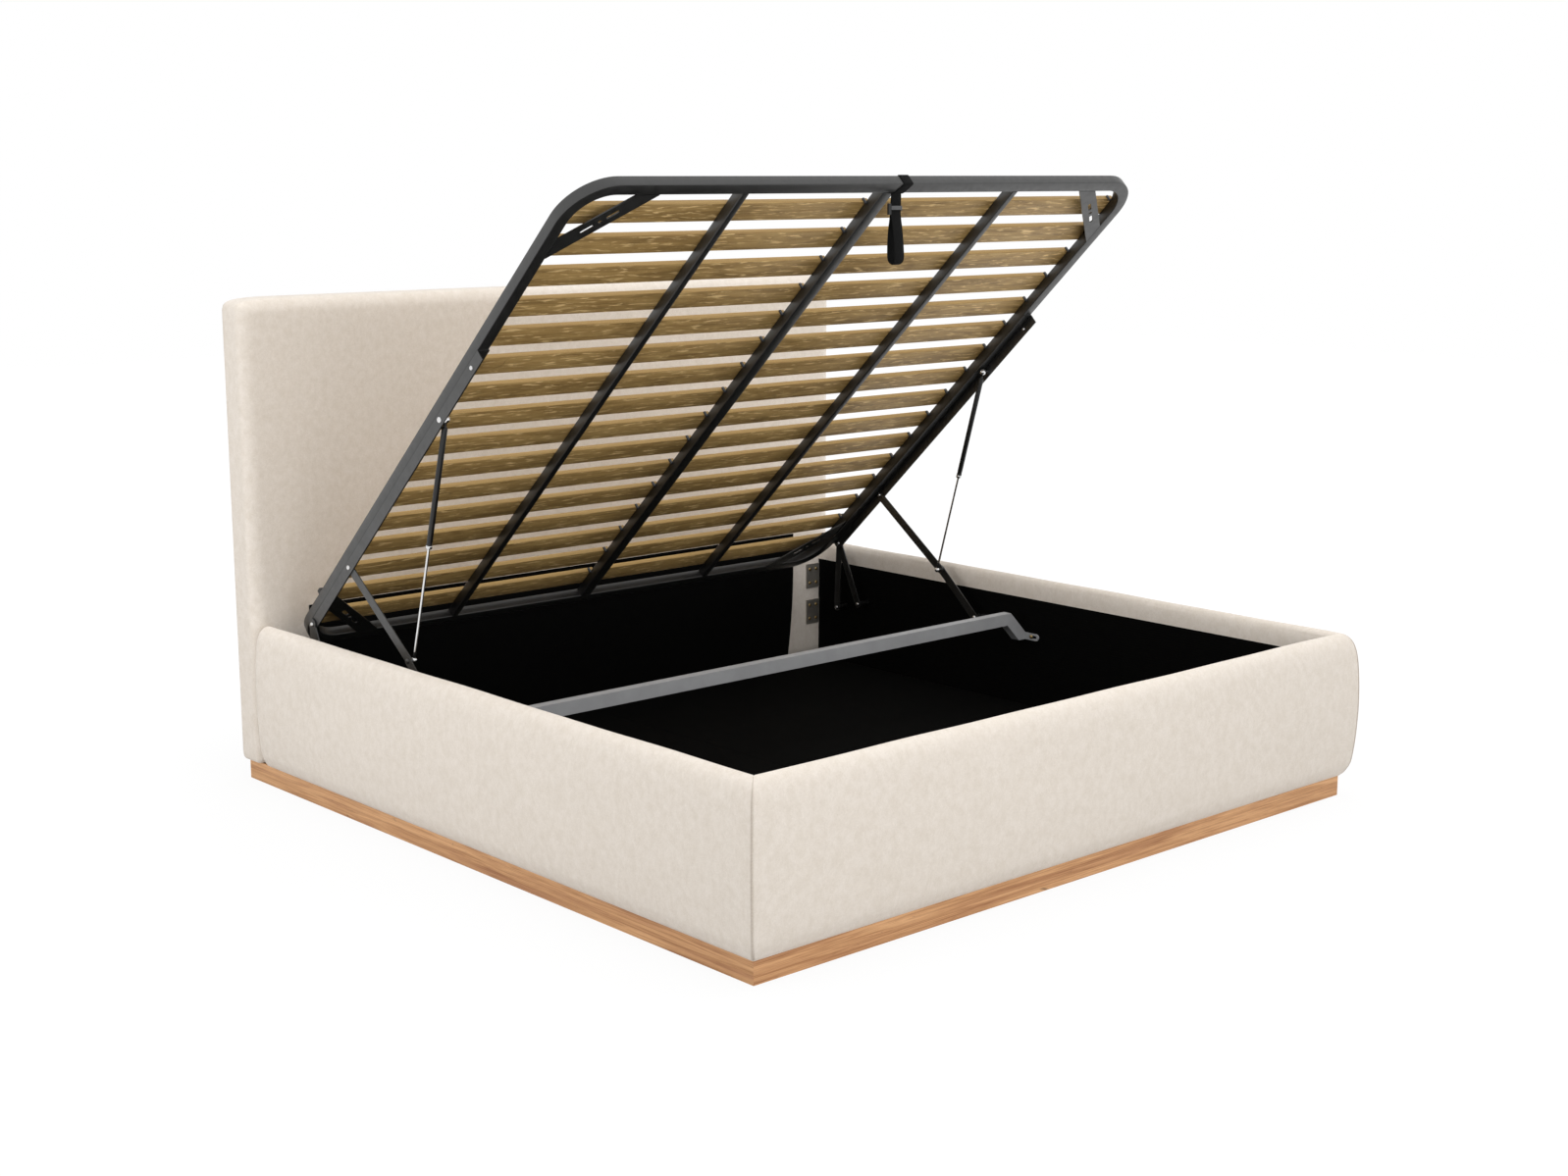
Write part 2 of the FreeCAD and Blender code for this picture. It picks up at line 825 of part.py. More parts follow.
    def frame(self):
        s = self.s
        wall = s.tube_wall
        bottom = s.tube_rise
        bows = (
            ("frame_bow_foot", s.frame_foot, s.frame_joint, -1),
            ("frame_bow_head", s.frame_head, -s.frame_joint, 1),
        )
        for label, far, near, way in bows:
            bow = self.piece(label)
            bow.add(PLAN, [self.bow_outline(ZERO, far, near, way)], bottom, s.tube_height)
            hollow = self.bow_outline(wall, far, near, way)
            bow.cut(PLAN, [hollow], bottom + wall, s.tube_height - wall * 2)
            self.lift(bow)
        head_end = s.frame_head - s.tube_width
        foot_end = s.tube_width - s.frame_foot
        length = head_end - foot_end
        bars = (
            ("middle_bar", ZERO, s.middle_bar_width),
            ("long_bar_left", -s.long_bar_inset, s.long_bar_width),
            ("long_bar_right", s.long_bar_inset, s.long_bar_width),
        )
        for label, centre, width in bars:
            bar = self.piece(label)
            outer = box(centre - width / 2, bottom, centre + width / 2, bottom + s.tube_height)
            inner = box(
                centre - width / 2 + wall,
                bottom + wall,
                centre + width / 2 - wall,
                bottom + s.tube_height - wall,
            )
            bar.add(ACROSS, [outer, inner], foot_end, length)
            self.lift(bar)
        self.gussets()
        self.slats()

    def gussets(self):
        s = self.s
        side = s.frame_half_width - s.tube_width
        gussets = self.piece("corner_gussets")
        ends = ((s.frame_foot - s.tube_width, -1), (s.frame_head - s.tube_width, 1))
        for sign in (-1, 1):
            for edge, way in ends:
                plate = [
                    (side, (edge - s.gusset_side_far + s.tube_width) * way),
                    (side, (edge - s.gusset_side_near + s.tube_width) * way),
                    (side - s.gusset_end_near, edge * way),
                    (side - s.gusset_end_far, edge * way),
                ]
                middle_x = side - (s.gusset_end_near + s.gusset_end_far) / 4
                side_middle = edge - (s.gusset_side_near + s.gusset_side_far) / 2 + s.tube_width
                middle_y = (side_middle + edge) / 2
                holes = [Circle(middle_x * sign, middle_y * way, s.gusset_hole)]
                for turn in (-1, 1):
                    near = s.gusset_slot_start * DIAGONAL_SHARE * turn
                    far = s.gusset_slot_end * DIAGONAL_SHARE * turn
                    opening = slot(
                        middle_x + near,
                        (middle_y - near) * way,
                        middle_x + far,
                        (middle_y - far) * way,
                        s.gusset_hole,
                    )
                    holes.append(mirrored(sign, opening))
                gussets.add(PLAN, [mirrored(sign, plate)], s.tube_rise, s.gusset_thickness)
                gussets.cut(PLAN, holes, s.tube_rise, s.gusset_thickness)
        self.lift(gussets)

    def slats(self):
        s = self.s
        top = s.tube_rise + s.tube_height
        side = s.frame_half_width - s.tube_width
        middle = s.middle_bar_width / 2
        holders = self.piece("slat_clips")
        for side_name, sign in (("left", -1), ("right", 1)):
            slats, middle_clips, side_clips = [], [], []
            for number in range(SLATS):
                edge = -(s.slat_first - s.slat_pitch * number)
                outline = box(s.slat_inner, edge, s.slat_outer, edge + s.slat_width)
                slats.append(mirrored(sign, outline))
                end = side - s.clip_bend_inset if number == 0 else side
                outline = box(middle, edge - s.clip_depth, middle + s.clip_reach, edge)
                middle_clips.append(mirrored(sign, outline))
                outline = box(end - s.clip_reach, edge - s.clip_depth, end, edge)
                side_clips.append(mirrored(sign, outline))
            row = self.piece(f"slats_{side_name}")
            row.add(PLAN, slats, top, s.slat_thickness)
            self.lift(row)
            for clips in (middle_clips, side_clips):
                holders.add(PLAN, clips, top - s.clip_drop, s.clip_height)
        self.lift(holders)
        pegs = []
        for sign in (-1, 1):
            centre = s.frame_half_width - s.peg_inset
            first, last = -(s.peg_start + s.peg_length), -s.peg_start
            pegs.append(
                mirrored(sign, box(centre - s.peg_width / 2, first, centre + s.peg_width / 2, last))
            )
        self.lift(self.piece("mattress_pegs").add(PLAN, pegs, top, s.peg_height))

    def irons(self):
        s = self.s
        drop, end = s.iron_drop, -s.iron_foot
        top = s.tube_rise
        side = s.frame_half_width - s.tube_width
        pivots = self.piece("head_pivot_pins")
        stays = self.piece("stay_pivot_pins")
        studs = self.piece("gas_ball_studs")
        rivets = self.piece("angle_rivets")
        flank = [
            (end, -drop),
            (ZERO, -drop),
            Through(drop * DIAGONAL_SHARE, -drop * DIAGONAL_SHARE),
            (drop, ZERO),
            (drop, top),
            (end, top),
        ]
        holes = [Circle(ZERO, ZERO, s.pivot_round)]
        for along in (s.stay_pivot_along, s.spring_pivot_along):
            holes.append(Circle(-along, ZERO, s.pivot_round))
        rivet = Circle(-s.rivet_foot, ZERO, s.rivet_round)
        holes.append(rivet)
        for label, sign in (("angle_iron_left", -1), ("angle_iron_right", 1)):
            iron = self.piece(label)
            start = side_start(sign, self.plate, s.iron)
            iron.add(ALONG, [flank], start, s.iron)
            flange = box(side, end, self.plate, drop)
            iron.add(PLAN, [mirrored(sign, flange)], top - s.iron, s.iron)
            iron.cut(ALONG, holes, start, s.iron)
            self.lift(iron)
            self.pin(
                rivets, sign, rivet, s.rivet_head, self.plate, s.frame_half_width, s.rivet_cap
            )
            self.pin(
                pivots,
                sign,
                Circle(ZERO, ZERO, s.pivot_round),
                s.pivot_head,
                self.plate,
                self.bracket_inner + s.bracket + s.side_gap,
                s.pivot_cap,
            )
            self.pin(
                stays,
                sign,
                Circle(-s.stay_pivot_along, ZERO, s.pivot_round),
                s.pivot_head,
                self.upper_link - s.side_gap,
                s.frame_half_width,
                s.pivot_cap,
            )
            self.pin(
                studs,
                sign,
                Circle(-s.spring_pivot_along, ZERO, s.pivot_round),
                s.eye_round,
                s.spring_centre - s.eye_width / 2 - s.side_gap,
                s.frame_half_width,
                s.rivet_cap,
            )
        for group in (pivots, stays, studs, rivets):
            self.lift(group)

    def pin(self, piece, sign, circle, head, inner, outer, cap):
        """A pin through the layers between inner and outer with a head at each end."""
        length = outer - inner
        piece.add(ALONG, [circle], side_start(sign, inner, length), length)
        top = Circle(circle.u, circle.v, head)
        piece.add(ALONG, [top], side_start(sign, inner - cap, cap), cap)
        piece.add(ALONG, [top], side_start(sign, outer, cap), cap)

    def brackets(self):
        s = self.s
        pivot = (self.y(s.pivot_back), s.pivot_height)
        feet = (
            (self.y(s.bracket_rear), s.bracket_rear_height),
            (self.y(s.bracket_front), s.bracket_front_height),
        )
        spacers = self.piece("bracket_spacers")
        bolts = self.piece("bracket_bolts")
        outer = self.bracket_inner + s.bracket
        room = self.inner - outer
        for label, sign in (("hinge_bracket_left", -1), ("hinge_bracket_right", 1)):
            bracket = self.piece(label)
            start = side_start(sign, self.bracket_inner, s.bracket)
            for foot in feet:
                leg = slot(*pivot, *foot, s.bracket_leg_round)
                bracket.add(ALONG, [leg], start, s.bracket)
            bracket.add(ALONG, [Circle(*pivot, s.bracket_eye_round)], start, s.bracket)
            holes = [Circle(*pivot, s.pivot_round + s.running_gap)]
            for foot in feet:
                holes.append(Circle(*foot, s.bolt_round + s.running_gap))
            bracket.cut(ALONG, holes, start, s.bracket)
            for foot in feet:
                bore = Circle(*foot, s.bolt_round + s.running_gap)
                ring = Circle(*foot, s.bracket_spacer_round)
                spacers.add(ALONG, [ring, bore], side_start(sign, outer, room), room)
                head = side_start(sign, self.bracket_inner - s.bolt_cap, s.bolt_cap)
                bolts.add(ALONG, [Circle(*foot, s.bolt_head)], head, s.bolt_cap)
                reach = s.bracket + room + s.bolt_depth
                shank = side_start(sign, self.bracket_inner, reach)
                bolts.add(ALONG, [Circle(*foot, s.bolt_round)], shank, reach)

    def knee(self):
        s = self.s
        return self.y(s.knee_back), s.knee_height

    def on_frame(self, along):
        """A pivot of the open lift frame, as its place in Y and Z."""
        s = self.s
        angle = math.radians(s.lift_angle.number)
        cosine = Size(math.cos(angle), f"cos({s.lift_angle.text})")
        sine = Size(math.sin(angle), f"sin({s.lift_angle.text})")
        return self.y(s.pivot_back) - along * cosine, s.pivot_height + along * sine

    @staticmethod
    def turn(start, end):
        """The slope from one point to another, for placing a link."""
        rise = end[1] - start[1]
        run = end[0] - start[0]
        return f"atan2({rise.text}; {run.text})"

    @staticmethod
    def distance(start, end):
        run, rise = end[0] - start[0], end[1] - start[1]
        return (run * run + rise * rise).root()

    def stays(self):
        s = self.s
        knee = self.knee()
        upper = self.on_frame(s.stay_pivot_along)
        post = (self.y(s.post_back), s.post_height)
        hole = s.pivot_round + s.running_gap
        posts = self.piece("stay_wall_posts")
        for side, sign in (("left", -1), ("right", 1)):
            length = self.distance(upper, knee)
            start = side_start(sign, self.upper_link, s.iron)
            link = self.piece(f"stay_upper_{side}")
            outline = slot(ZERO, ZERO, length, ZERO, s.stay_half_width)
            outline[-1] = Through(-s.stay_end_reach, ZERO)
            link.add(ALONG, [outline], start, s.iron)
            link.cut(ALONG, [Circle(ZERO, ZERO, hole)], start, s.iron)
            link.place(*upper, self.turn(upper, knee))
            length = self.distance(post, knee)
            start = side_start(sign, self.lower_link, s.iron)
            link = self.piece(f"stay_lower_{side}")
            link.add(ALONG, [slot(ZERO, ZERO, length, ZERO, s.stay_half_width)], start, s.iron)
            link.cut(
                ALONG,
                [Circle(ZERO, ZERO, hole), Circle(length, ZERO, s.rivet_round)],
                start,
                s.iron,
            )
            link.place(*post, self.turn(post, knee))
            rivet = self.piece(f"knee_rivet_{side}")
            rivet.add(ALONG, [Circle(length, ZERO, s.rivet_round)], start, s.iron)
            cap_start = side_start(sign, s.frame_half_width, s.rivet_cap)
            rivet.add(ALONG, [Circle(length, ZERO, s.pivot_head)], cap_start, s.rivet_cap)
            rivet.place(*post, self.turn(post, knee))
            place = Circle(*post, s.pivot_round)
            cap = s.pivot_cap
            gap_end = self.lower_link - s.side_gap
            posts.add(
                ALONG, [Circle(*post, s.pivot_head)], side_start(sign, gap_end - cap, cap), cap
            )
            neck = s.iron + s.side_gap * 2
            posts.add(ALONG, [place], side_start(sign, gap_end, neck), neck)
            foot = gap_end + neck
            room = self.inner - foot
            posts.add(
                ALONG, [Circle(*post, s.post_round)], side_start(sign, foot, room), room
            )
            posts.add(
                ALONG,
                [Circle(*post, s.bolt_round)],
                side_start(sign, self.inner, s.bolt_depth),
                s.bolt_depth,
            )

    def gas_springs(self):
        s = self.s
        knee = self.knee()
        ball = self.on_frame(s.spring_pivot_along)
        length = self.distance(ball, knee)
        inner = s.spring_centre - s.eye_width / 2
        guide = s.cylinder_end - s.guide_length
        for side, sign in (("left", -1), ("right", 1)):
            centre = s.spring_centre * sign
            eye_start = side_start(sign, inner, s.eye_width)
            tube = self.piece(f"gas_cylinder_{side}")
            tube.add(ALONG, [Circle(ZERO, ZERO, s.eye_round)], eye_start, s.eye_width)
            tube.add(
                ACROSS,
                [Circle(centre, ZERO, s.neck_round)],
                s.pivot_round,
                s.cylinder_start - s.pivot_round,
            )
            tube.cut(
                ALONG,
                [Circle(ZERO, ZERO, s.pivot_round + s.running_gap)],
                eye_start,
                s.eye_width,
            )
            tube.add(
                ACROSS,
                [Circle(centre, ZERO, s.cylinder_round)],
                s.cylinder_start,
                s.cylinder_end - s.cylinder_start,
            )
            chamber = s.cylinder_start + s.cylinder_wall
            tube.cut(ACROSS, [Circle(centre, ZERO, s.cylinder_bore)], chamber, guide - chamber)
            tube.cut(
                ACROSS,
                [Circle(centre, ZERO, s.rod_round + s.running_gap)],
                guide,
                s.guide_length,
            )
            tube.place(*ball, self.turn(ball, knee))
            rod = self.piece(f"gas_rod_{side}")
            piston = guide - s.piston_length - s.side_gap
            rod.add(
                ACROSS,
                [Circle(centre, ZERO, s.cylinder_bore - s.piston_gap)],
                piston,
                s.piston_length,
            )
            start = piston + s.piston_length
            rod.add(ACROSS, [Circle(centre, ZERO, s.rod_round)], start, length - start)
            rod.add(ALONG, [Circle(length, ZERO, s.rod_eye_round)], eye_start, s.eye_width)
            rod.add(
                ACROSS,
                [Circle(centre, ZERO, s.neck_round)],
                length - s.cylinder_start,
                s.cylinder_start,
            )
            stud_start = inner + s.eye_width
            reach = self.upper_link - s.side_gap - stud_start
            rod.add(
                ALONG,
                [Circle(length, ZERO, s.pivot_round)],
                side_start(sign, stud_start, reach),
                reach,
            )
            rod.place(*ball, self.turn(ball, knee))

    def strap(self):
        s = self.s
        first = s.strap_centre - s.strap_width / 2
        outer_edge, inner_edge = -s.frame_foot, s.tube_width - s.frame_foot
        low, high = s.tube_rise, s.tube_rise + s.tube_height
        band = s.webbing
        wrap = self.piece("strap_wrap")
        wrap.add(
            ALONG,
            [
                box(outer_edge - band, low - band, inner_edge + band, high + band),
                box(outer_edge, low, inner_edge, high),
            ],
            first,
            s.strap_width,
        )
        self.lift(wrap)
        angle = math.radians(s.lift_angle.number)
        cosine = Size(math.cos(angle), f"cos({s.lift_angle.text})")
        sine = Size(math.sin(angle), f"sin({s.lift_angle.text})")
        along = s.frame_foot - s.tube_width - band
        rise = low - band
        hang_y = self.y(s.pivot_back) - along * cosine + rise * sine
        hang_z = s.pivot_height + along * sine + rise * cosine
        half = s.loop_half_depth
        first = s.loop_centre - s.strap_width / 2
        loop = self.piece("handle_loop")
        top = -s.side_gap
        turn_level = half - s.loop_length
        loop.add(
            ALONG,
            [
                [
                    (-band, top - band),
                    Through(ZERO, top),
                    (band, top - band),
                    (band, -s.buckle_drop - s.buckle_height),
                    (half, turn_level),
                    Through(ZERO, -s.loop_length),
                    (-half, turn_level),
                    (-band, -s.buckle_drop - s.buckle_height),
                ],
                [
                    (ZERO, -s.buckle_drop - s.buckle_height - half),
                    (half - band, turn_level),
                    Through(ZERO, band - s.loop_length),
                    (band - half, turn_level),
                ],
            ],
            first,
            s.strap_width,
        )
        loop.place(hang_y, hang_z, "0")
        buckle = self.piece("strap_buckle")
        buckle.add(
            ALONG,
            [
                box(
                    -s.buckle_thickness / 2,
                    -s.buckle_drop - s.buckle_height,
                    s.buckle_thickness / 2,
                    -s.buckle_drop,
                )
            ],
            s.loop_centre - s.buckle_width / 2,
            s.buckle_width,
        )
        buckle.cut(
            ALONG,
            [box(-band, -s.buckle_drop - s.buckle_height, band, -s.buckle_drop)],
            first,
            s.strap_width,
        )
        buckle.place(hang_y, hang_z, "0")

    def build(self):
        self.plinth_and_floor()
        self.rails()
        self.headboard()
        self.crossbar()
        self.frame()
        self.irons()
        self.brackets()
        self.stays()
        self.gas_springs()
        self.strap()


def check(doc):
    for thing in doc.Objects:
        if "Invalid" in thing.State or "Error" in thing.State:
            raise RuntimeError(f"{thing.Label} did not build: {thing.State}")


def export(folder):
    for piece in Piece.made:
        shape = piece.body.Shape
        if shape.isNull() or not shape.isValid() or shape.Volume <= 0:
            raise RuntimeError(f"{piece.body.Label} has no sound solid")
        shape.exportStep(f"{folder}/{piece.body.Label}.step")


def main():
    os.makedirs("parts", exist_ok=True)
    doc = FreeCAD.newDocument("Bed")
    sizes = Sizes(doc, SIZES)
    doc.recompute()
    Bed(doc, sizes).build()
    doc.recompute()
    check(doc)
    export("parts")


main()
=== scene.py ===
import logging
import math
from dataclasses import dataclass
from enum import Enum

import bmesh
import bpy
import numpy as np
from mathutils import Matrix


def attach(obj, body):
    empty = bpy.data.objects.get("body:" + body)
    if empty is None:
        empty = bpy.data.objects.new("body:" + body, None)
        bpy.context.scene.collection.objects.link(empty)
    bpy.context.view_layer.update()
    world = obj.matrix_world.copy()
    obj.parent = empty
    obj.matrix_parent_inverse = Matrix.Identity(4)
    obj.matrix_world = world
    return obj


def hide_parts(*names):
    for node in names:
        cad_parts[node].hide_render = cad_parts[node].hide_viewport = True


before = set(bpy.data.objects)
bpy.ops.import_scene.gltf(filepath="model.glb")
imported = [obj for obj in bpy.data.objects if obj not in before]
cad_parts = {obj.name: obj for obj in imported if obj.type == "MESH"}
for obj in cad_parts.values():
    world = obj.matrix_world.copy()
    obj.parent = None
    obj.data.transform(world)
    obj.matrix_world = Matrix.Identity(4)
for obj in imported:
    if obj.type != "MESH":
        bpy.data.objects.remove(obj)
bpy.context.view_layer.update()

log = logging.getLogger("storage_bed")

Triple = tuple[float, float, float]
Tone = tuple[float, float, float, float]
Socket = bpy.types.NodeSocket
Piece = bpy.types.Object

MM = 0.001
TINY = 1e-9
SIDES = (("left", -1), ("right", 1))
SIDE_OF = {sign: side for side, sign in SIDES}
RIGHT = np.array([1.0, 0.0, 0.0])
UP = np.array([0.0, 0.0, 1.0])
WHITE = (1, 1, 1, 1)

# Sizes that several sub-assemblies share, in millimetres: the plinth's foot end in Y, how
# far behind it the headboard's face is, then half the box and half the lift frame across
FOOT = -1061.0
HEAD_FRONT = 2040.0
BOX_HALF = 1024.0
FRAME_HALF = 977.0

# Edges that turn by less than this many degrees are shaded smooth
STEEL_EDGES = 40.0
COVER_EDGES = 50.0
ROUND_EDGES = 60.0


class Grain(Enum):
    """The direction that the grain of a wooden piece runs in."""

    ACROSS = "x"
    ALONG = "y"


# Surfaces


def grid_faces(rows: int, columns: int, closed_rows: bool, closed_columns: bool) -> np.ndarray:
    """Join the points of a grid into four-sided faces.

    Args:
        rows: How many rows of points the grid has.
        columns: How many points each row has.
        closed_rows: Whether the last row joins the first.
        closed_columns: Whether the last point of a row joins its first.

    Returns:
        An array of faces, four point numbers each.
    """
    last_row = rows if closed_rows else rows - 1
    last_column = columns if closed_columns else columns - 1
    row, column = np.meshgrid(np.arange(last_row), np.arange(last_column), indexing="ij")
    next_row = (row + 1) % rows
    next_column = (column + 1) % columns
    faces = np.stack(
        [
            row * columns + column,
            row * columns + next_column,
            next_row * columns + next_column,
            next_row * columns + column,
        ],
        axis=-1,
    )
    return faces.reshape(-1, 4)


class Skin:
    """A mesh put together from grids and fans, then made into one object."""

    def __init__(self) -> None:
        """Start with no points."""
        self.points: list[np.ndarray] = []
        self.faces: list[np.ndarray] = []
        self.maps: list[np.ndarray] = []
        self.slots: list[np.ndarray] = []
        self.count = 0

    def grid(
        self,
        points: np.ndarray,
        closed_rows: bool = False,
        closed_columns: bool = False,
        chart: np.ndarray | None = None,
        slot: int = 0,
        caps: bool = False,
    ) -> None:
        """Add a surface given on a grid of points.

        Args:
            points: The grid, rows by columns by 3.
            closed_rows: Whether the last row joins the first.
            closed_columns: Whether each row is a closed ring.
            chart: The place of each point on the flat material, rows by columns by 2.
            slot: The material slot of the faces.
            caps: Whether the first and last rings are closed with a fan.
        """
        rows, columns = points.shape[:2]
        faces = grid_faces(rows, columns, closed_rows, closed_columns) + self.count
        if chart is None:
            chart = np.zeros((rows, columns, 2))
        self._keep(points.reshape(-1, 3), faces, chart.reshape(-1, 2), slot)
        if caps:
            self.fan(points[0][::-1], chart[0][::-1], slot)
            self.fan(points[-1], chart[-1], slot)

    def fan(self, ring: np.ndarray, chart: np.ndarray, slot: int = 0) -> None:
        """Close a ring with triangles that meet in its middle.

        Args:
            ring: The ring's points in order, seen from outside against the clock.
            chart: Their places on the flat material.
            slot: The material slot of the faces.
        """
        size = len(ring)
        points = np.vstack([ring, ring.mean(axis=0)])
        places = np.vstack([chart, chart.mean(axis=0)])
        number = np.arange(size)
        middle = np.full(size, size)
        faces = np.stack([number, (number + 1) % size, middle, middle], axis=-1) + self.count
        self._keep(points, faces, places, slot)

    def _keep(self, points: np.ndarray, faces: np.ndarray, chart: np.ndarray, slot: int) -> None:
        """Store points, faces, places and slots, and count the points.

        Args:
            points: The new points.
            faces: Their faces, numbered from the mesh's start.
            chart: The points' places on the flat material.
            slot: The material slot.
        """
        self.points.append(points)
        self.faces.append(faces)
        self.maps.append(chart)
        self.slots.append(np.full(len(faces), slot))
        self.count += len(points)

    def build(self, name: str, smooth_below: float = 35.0) -> Piece:
        """Make the object.

        Args:
            name: The piece's name.
            smooth_below: Edges that turn by less than this many degrees are shaded smooth.

        Returns:
            The new object, at the origin.
        """
        points = np.vstack(self.points)
        faces = np.vstack(self.faces)
        chart = np.vstack(self.maps)
        triangles = faces[:, 2] == faces[:, 3]
        sizes = np.where(triangles, 3, 4)
        keep = np.ones(faces.shape, dtype=bool)
        keep[triangles, 3] = False
        corners = faces[keep]
        starts = np.concatenate([[0], np.cumsum(sizes)[:-1]])
        mesh = bpy.data.meshes.new(name)
        mesh.vertices.add(len(points))
        mesh.vertices.foreach_set("co", points.astype(np.float32).ravel())
        mesh.loops.add(len(corners))
        mesh.loops.foreach_set("vertex_index", corners.astype(np.int32))
        mesh.polygons.add(len(faces))
        mesh.polygons.foreach_set("loop_start", starts.astype(np.int32))
        mesh.polygons.foreach_set("material_index", np.concatenate(self.slots).astype(np.int32))
        layer = mesh.uv_layers.new(name="cloth")
        layer.data.foreach_set("uv", chart[corners].astype(np.float32).ravel())
        mesh.update(calc_edges=True)
        mesh.validate()
        piece = bpy.data.objects.new(name, mesh)
        bpy.context.scene.collection.objects.link(piece)
        merge_doubles(piece)
        mesh.polygons.foreach_set("use_smooth", np.ones(len(mesh.polygons), dtype=bool))
        mesh.set_sharp_from_angle(angle=math.radians(smooth_below))
        return piece


def merge_doubles(piece: Piece, distance: float = 0.01 * MM) -> None:
    """Join points that lie on each other and turn all faces outward.

    Args:
        piece: The object to clean.
        distance: How far apart, in metres, points may be and still be joined.
    """
    work = bmesh.new()
    work.from_mesh(piece.data)
    bmesh.ops.remove_doubles(work, verts=work.verts, dist=distance)
    bmesh.ops.recalc_face_normals(work, faces=work.faces)
    work.to_mesh(piece.data)
    work.free()


def surface(name: str, points: np.ndarray, smooth_below: float, **closing: object) -> Piece:
    """Make a piece of one grid of points.

    Args:
        name: The piece's name.
        points: The grid, in metres.
        smooth_below: Edges that turn by less than this many degrees are shaded smooth.
        **closing: How the grid closes, and its flat map, as Skin.grid takes them.

    Returns:
        The piece.
    """
    skin = Skin()
    skin.grid(points, **closing)
    return skin.build(name, smooth_below)


def runs(line: np.ndarray) -> np.ndarray:
    """The way that a closed line runs at each point: from the point before it to the point
    after it, made one unit long."""
    step = np.roll(line, -1, axis=0) - np.roll(line, 1, axis=0)
    return step / (np.linalg.norm(step, axis=1)[:, None] + TINY)


def smooth_line(points: np.ndarray, steps: int, closed: bool = False) -> np.ndarray:
    """A smooth curve through points: each span is the cubic whose slope at a point is half
    the step from the point before it to the point after it.

    Args:
        points: The points that the curve goes through.
        steps: How many pieces each span is cut into.
        closed: Whether the curve comes back to its first point.

    Returns:
        Points on the curve, the given ones among them.
    """
    if closed:
        before, first = np.roll(points, 1, axis=0), points
        second, after = np.roll(points, -1, axis=0), np.roll(points, -2, axis=0)
    else:
        start = 2 * points[:1] - points[1:2]
        end = 2 * points[-1:] - points[-2:-1]
        padded = np.vstack([start, points, end])
        before, first, second, after = padded[:-3], padded[1:-2], padded[2:-1], padded[3:]
    share = (np.arange(steps) / steps)[None, :, None]
    slope_first = (second - before)[:, None] / 2
    slope_second = (after - first)[:, None] / 2
    square, cube = share**2, share**3
    curve = (
        (2 * cube - 3 * square + 1) * first[:, None]
        + (cube - 2 * square + share) * slope_first
        + (3 * square - 2 * cube) * second[:, None]
        + (cube - square) * slope_second
    ).reshape(-1, points.shape[1])
    return curve if closed else np.vstack([curve, points[-1:]])


def rounded_rectangle(width: float, height: float, radius: float, steps: int = 4) -> np.ndarray:
    """A rectangle with quarter-circle corners, centred on zero, against the clock.

    Args:
        width: Its full width.
        height: Its full height.
        radius: The corners' radius.
        steps: How many pieces each corner has.

    Returns:
        The ring's points, n by 2.
    """
    turn = np.linspace(0.0, math.pi / 2, steps + 1)
    corner = np.arange(4)[:, None] * math.pi / 2
    angle = corner + turn[None, :]
    sign = np.array([[1, 1], [-1, 1], [-1, -1], [1, -1]])
    centre = sign * np.array([width / 2 - radius, height / 2 - radius])
    ring = centre[:, None, :] + radius * np.stack([np.cos(angle), np.sin(angle)], axis=-1)
    return ring.reshape(-1, 2)


def crossed_waves(
    first: np.ndarray,
    second: np.ndarray,
    waves: tuple[Triple, ...],
    seed: float = 0.0,
) -> np.ndarray:
    """The sum of sine waves, each of which runs across two directions at once.

    Args:
        first: The distance in the first direction.
        second: The distance in the second direction.
        waves: Each wave's height and its two lengths over a full turn's 6.28.
        seed: Shifts the waves, each by more than the one before it.

    Returns:
        The sum at each place.
    """
    return sum(
        height * np.sin(first / long + second / broad + turn * seed)
        for turn, (height, long, broad) in enumerate(waves, 1)
    )


def turned(
    centre: np.ndarray, axis: np.ndarray, square_to: np.ndarray, profile: np.ndarray, sides: int
) -> np.ndarray:
    """Turn a profile about an axis: a point at reach r and height h goes round the axis.

    Args:
        centre: The foot of the axis.
        axis: The axis, one unit long.
        square_to: A way that the first point of each ring lies square to.
        profile: Reach and height of each ring, n by 2.
        sides: How many sides the rings have.

    Returns:
        The rings' points, n by sides by 3.
    """
    first = np.cross(square_to, axis)
    first /= np.linalg.norm(first)
    second = np.cross(axis, first)
    turn = np.linspace(0.0, 2 * math.pi, sides, endpoint=False)
    ring = np.cos(turn)[:, None] * first + np.sin(turn)[:, None] * second
    reach, height = profile[:, 0, None, None], profile[:, 1, None, None]
    return centre + reach * ring + height * axis


def lathe(
    skin: Skin,
    centre: np.ndarray,
    axis: np.ndarray,
    profile: np.ndarray,
    sides: int,
    slot: int = 0,
) -> None:
    """Add a level turned piece, closed at both ends.

    Args:
        skin: The mesh that the turned surface joins.
        centre: The foot of the axis.
        axis: The axis, level and one unit long.
        profile: Reach and height of each ring, n by 2.
        sides: How many sides the rings have.
        slot: The material slot.
    """
    points = turned(centre, axis, UP, profile, sides)
    skin.grid(points, closed_columns=True, slot=slot, caps=True)


